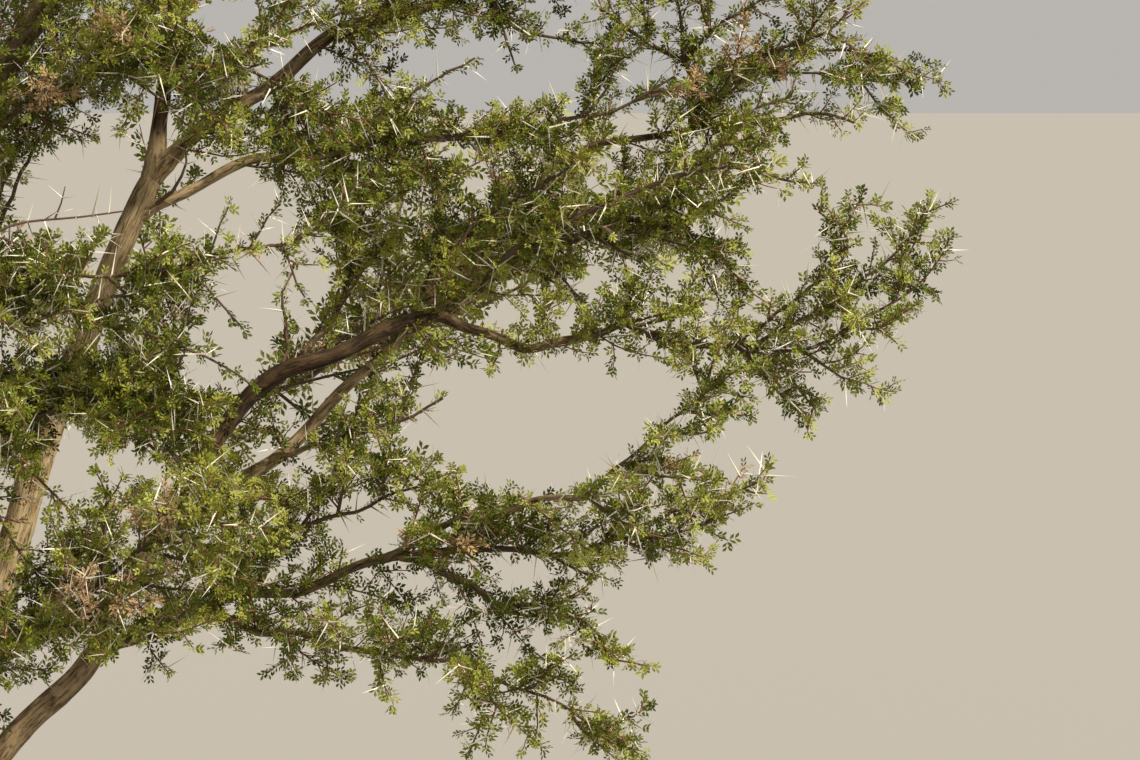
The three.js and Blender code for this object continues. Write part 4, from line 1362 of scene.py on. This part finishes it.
def limb_skin(skin, name, limb):
    butt, end = limb.radii[0], limb.radii[-1]
    chance = np.random.default_rng(limb.seed)
    path, place, sunk = sunk_path(limb, clamp(butt * RING_STEP, *RING_STEP_RANGE))
    free = np.clip((place - sunk) / (place[-1] - sunk), 0, 1)
    if limb.parent == "trunk":
        collar, buried = STEM_COLLAR, FORK_RADIUS - STEM_SPREAD
        parent_pale, reach = TRUNK_PALE, STEM_PALE_REACH
    else:
        buried = radius_at(limbs[limb.parent], limb.share)
        parent_pale, reach = PALE_LIMBS.get(limb.parent, OTHER_PALE), PALE_REACH
        collar = COLLAR if limb.share < FORKED else clamp(FORK_FIT * buried / butt - 1, 0, COLLAR)
    radius = butt + (end - butt) * free
    radius = radius * (1 + collar * np.exp(-np.maximum(0, place - sunk - buried) / (COLLAR_FADE * butt)))
    radius = radius * (ROOT_START + (1 - ROOT_START) * eased(place / (ROOT_GROWN * sunk)))
    if any(other.parent == name and other.share >= FORKED for other in limbs.values()):
        radius = radius * domed((place[-1] - place) / (ROUNDED_END * end))
    knots = lattice(np.zeros(len(place)), place / (butt * KNOT_GAP), 1, chance)
    radius = radius * (LEAST_KNOT + KNOT_SIZE * knots)
    sides = clamp(rounded(2 * math.pi * butt / SIDE_WIDTH), *SIDES_RANGE)
    rows, columns = np.meshgrid(place, np.arange(sides) / sides, indexing="ij")
    relief = furrows(columns, rows, butt, chance)
    rim = radius[:, None] + (relief - RELIEF_MIDDLE) * np.maximum(LEAST_RELIEF, radius * RELIEF)[:, None]
    first, second = carried_frames(path)
    turn = columns * 2 * math.pi
    rings = (path[:, None] + first[:, None] * (np.cos(turn) * rim)[..., None]
             - second[:, None] * (np.sin(turn) * rim)[..., None])
    # Paleness by limb, partly painted light: limbs in shade are painted darker
    pale = PALE_LIMBS.get(name, OTHER_PALE)
    pale = parent_pale + (pale - parent_pale) * eased((place - sunk) / (reach * butt))
    skin.add(rings, place, butt, pale, relief)


def trunk_skin(skin):
    levels = np.linspace(0, FORK_HEIGHT + CROTCH_RISE, TRUNK_ROWS)
    rows, columns = np.meshgrid(levels, np.arange(TRUNK_SIDES) / TRUNK_SIDES, indexing="ij")
    turn = columns * 2 * math.pi
    rise = np.minimum(1, rows / FORK_HEIGHT)
    flare = (1 - rise) ** 3
    lobes = 1 + LOBE_DEPTH * flare * np.cos(FOOT_LOBES * turn + LOBE_TURN)
    swell = WAIST_RADIUS + (FORK_RADIUS - WAIST_RADIUS) * rise ** 2
    relief = furrows(columns, rows, FORK_RADIUS, np.random.default_rng(LIMB_SEED))
    rim = (swell + (FOOT_RADIUS - WAIST_RADIUS) * flare) * lobes
    rim += (relief - TRUNK_RELIEF_MIDDLE) * TRUNK_RELIEF
    rim *= domed((FORK_HEIGHT + CROTCH_RISE - rows) / (TRUNK_DOME * CROTCH_RISE))
    lean = FORK_LEAN * rise ** LEAN_POWER
    rings = np.stack([lean + np.sin(turn) * rim, np.cos(turn) * rim, rows], axis=2)
    skin.add(rings[:, ::-1], levels, FORK_RADIUS, np.full(len(levels), TRUNK_PALE), relief[:, ::-1])


wood = Skin()
trunk_skin(wood)
trunk_piece = wood.object("trunk_bark")
boughs = Skin()
for limb_name, limb in limbs.items():
    limb_skin(boughs, limb_name, limb)
boughs_piece = boughs.object("bough_bark")

# Twigs
TWIGS = twig_recipe()
pieces = []


def twig_piece(name, kinds, sides, material):
    chosen = [twig for twig in growth if twig.kind in kinds]
    points = np.vstack([twig.path for twig in chosen])
    radii = np.concatenate([twig.radii for twig in chosen]) * MILLIMETRE
    last = np.zeros(len(points), bool)
    last[np.cumsum([len(twig.path) for twig in chosen]) - 1] = True
    starts = np.flatnonzero(~last)
    mesh = mesh_of(name, points * MILLIMETRE, np.stack([starts, starts + 1], axis=1), radius=radii)
    pieces.append(TWIGS.grow(name, mesh, Sides=sides, Material=material))


twig_piece("old_twigs", ("stem", "old", "dry"), 5, OLD_TWIG)
twig_piece("young_twigs", ("young",), 3, YOUNG_TWIG)
twig_piece("shoots", ("shoot",), 3, SHOOT_BARK)

# Leaves and thorns
leaf_points, leaf_faces = [], []
for place in LEAFLET_PLACES:
    for hand in (-1, 1):
        ahead = np.array([math.cos(LEAFLET_LEAN), hand * math.sin(LEAFLET_LEAN), 0])
        aside = np.array([-ahead[1], ahead[0], 0]) * LEAFLET_WIDTH / 2
        root = np.array([place, 0, 0])
        widest = root + ahead * LEAFLET_LENGTH * LEAFLET_WIDEST + (0, 0, LEAFLET_FOLD)
        first = len(leaf_points)
        leaf_points += [root, widest - aside, root + ahead * LEAFLET_LENGTH, widest + aside]
        leaf_faces += [(first, first + 1, first + 2), (first, first + 2, first + 3)]
leaf = linked("leaf", mesh_of("leaf", leaf_points, faces=leaf_faces))

thorn_points, thorn_faces = [], [tuple(range(THORN_SIDES))[::-1]]
for k in range(THORN_SIDES):
    turn = 2 * math.pi * k / THORN_SIDES
    thorn_points.append((-THORN_SINK, math.cos(turn) * THORN_RADIUS / LONG_THORN,
                         math.sin(turn) * THORN_RADIUS / LONG_THORN))
    thorn_faces.append((k, (k + 1) % THORN_SIDES, THORN_SIDES))
spike = linked("thorn_spike", mesh_of("thorn_spike", thorn_points + [(1, 0, 0)], faces=thorn_faces))
SPREAD = spread_recipe()


def spread_piece(name, rows, length, **values):
    mesh = mesh_of(name, rows[:, :3] * MILLIMETRE, heading=rows[:, 3:6],
                   size=rows[:, 6] * length * MILLIMETRE)
    pieces.append(SPREAD.grow(name, mesh, **values))


for order, (tone, (color, _)) in enumerate(LEAF_TONES.items()):
    rows = np.vstack(tufts[tone])
    finish = plain(tone + "_leaf", color, LEAF_ROUGHNESS, LEAF_GLOSS)
    parts = math.ceil(len(rows) / MOST_TUFTS)
    for part in range(parts):
        name = tone + "_leaves" + (f"_{part + 1}" if parts > 1 else "")
        spread_piece(name, rows[part::parts], LEAF_LENGTH, Piece=leaf, Pieces=TUFT_LEAVES,
                     Spread=LEAF_SPREAD, Upward=LEAF_UPWARD, Least=LEAST_LEAF, Seed=LEAF_SEED + order,
                     Material=finish)

for order, (kind, finish) in enumerate((("pale", THORN_PALE), ("old", THORN_OLD_AND_SHADED))):
    spread_piece(kind + "_thorns", np.vstack(thorns[kind]), 1, Piece=spike, Pieces=1, Spread=THORN_SPREAD,
                 Upward=0.0, Least=LEAST_THORN, Seed=THORN_SEED + order, Material=finish)
for helper in (leaf, spike):
    bpy.data.objects.remove(helper)

# How the pieces stand for the solids
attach(trunk_piece, "root")
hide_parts("trunk")
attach(boughs_piece, "root")
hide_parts(*limbs)
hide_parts(*[mass.name for mass in masses])
for piece in pieces:
    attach(piece, "root")
    "boughs" if "twig" in piece.name or "shoot" in piece.name else "foliage"

# Floor, light and camera
FLOOR_REACH = 2500
FLOOR_SINK = 0.001
floor_corners = [(x * FLOOR_REACH, y * FLOOR_REACH, -FLOOR_SINK)
                 for x, y in ((-1, -1), (1, -1), (1, 1), (-1, 1))]
floor = linked("floor", mesh_of("floor", floor_corners, faces=[(0, 1, 2, 3)],
                                material=plain("pale_floor", (0.40, 0.385, 0.365), 0.9)))

SKY_COLOR = (0.78, 0.75, 0.71)
SKY_STRENGTH = 0.62
SUN_COLOR = (1.0, 0.91, 0.74)
SUN_STRENGTH = 4.4
SUN_SPREAD = math.radians(5)
SUN_TURN = (math.radians(48), 0, math.radians(60))
world = bpy.data.worlds.new("soft_light")
bpy.context.scene.world = world
world.use_nodes = True
sky = world.node_tree.nodes["Background"]
sky.inputs["Color"].default_value = (*SKY_COLOR, 1)
sky.inputs["Strength"].default_value = SKY_STRENGTH

light = bpy.data.lights.new("key_light", "SUN")
light.energy = SUN_STRENGTH
light.color = SUN_COLOR
light.angle = SUN_SPREAD
linked("key_light", light).rotation_euler = SUN_TURN
bpy.context.scene.view_settings.view_transform = "Standard"

lens = bpy.data.cameras.new("camera")
eye = np.array([EYE_ACROSS, -EYE_DISTANCE, EYE_HEIGHT]) * MILLIMETRE
aim = np.array([EYE_ACROSS, 0, AIM_HEIGHT]) * MILLIMETRE
lens.sensor_width = SENSOR_WIDTH
lens.lens = SENSOR_WIDTH * math.dist(eye, aim) / (FRAME_WIDTH * MILLIMETRE)
camera = linked("camera", lens)
camera.location = eye
camera.rotation_euler = (math.pi / 2 - math.atan2(eye[2] - aim[2], aim[1] - eye[1]), 0, 0)
bpy.context.scene.camera = camera
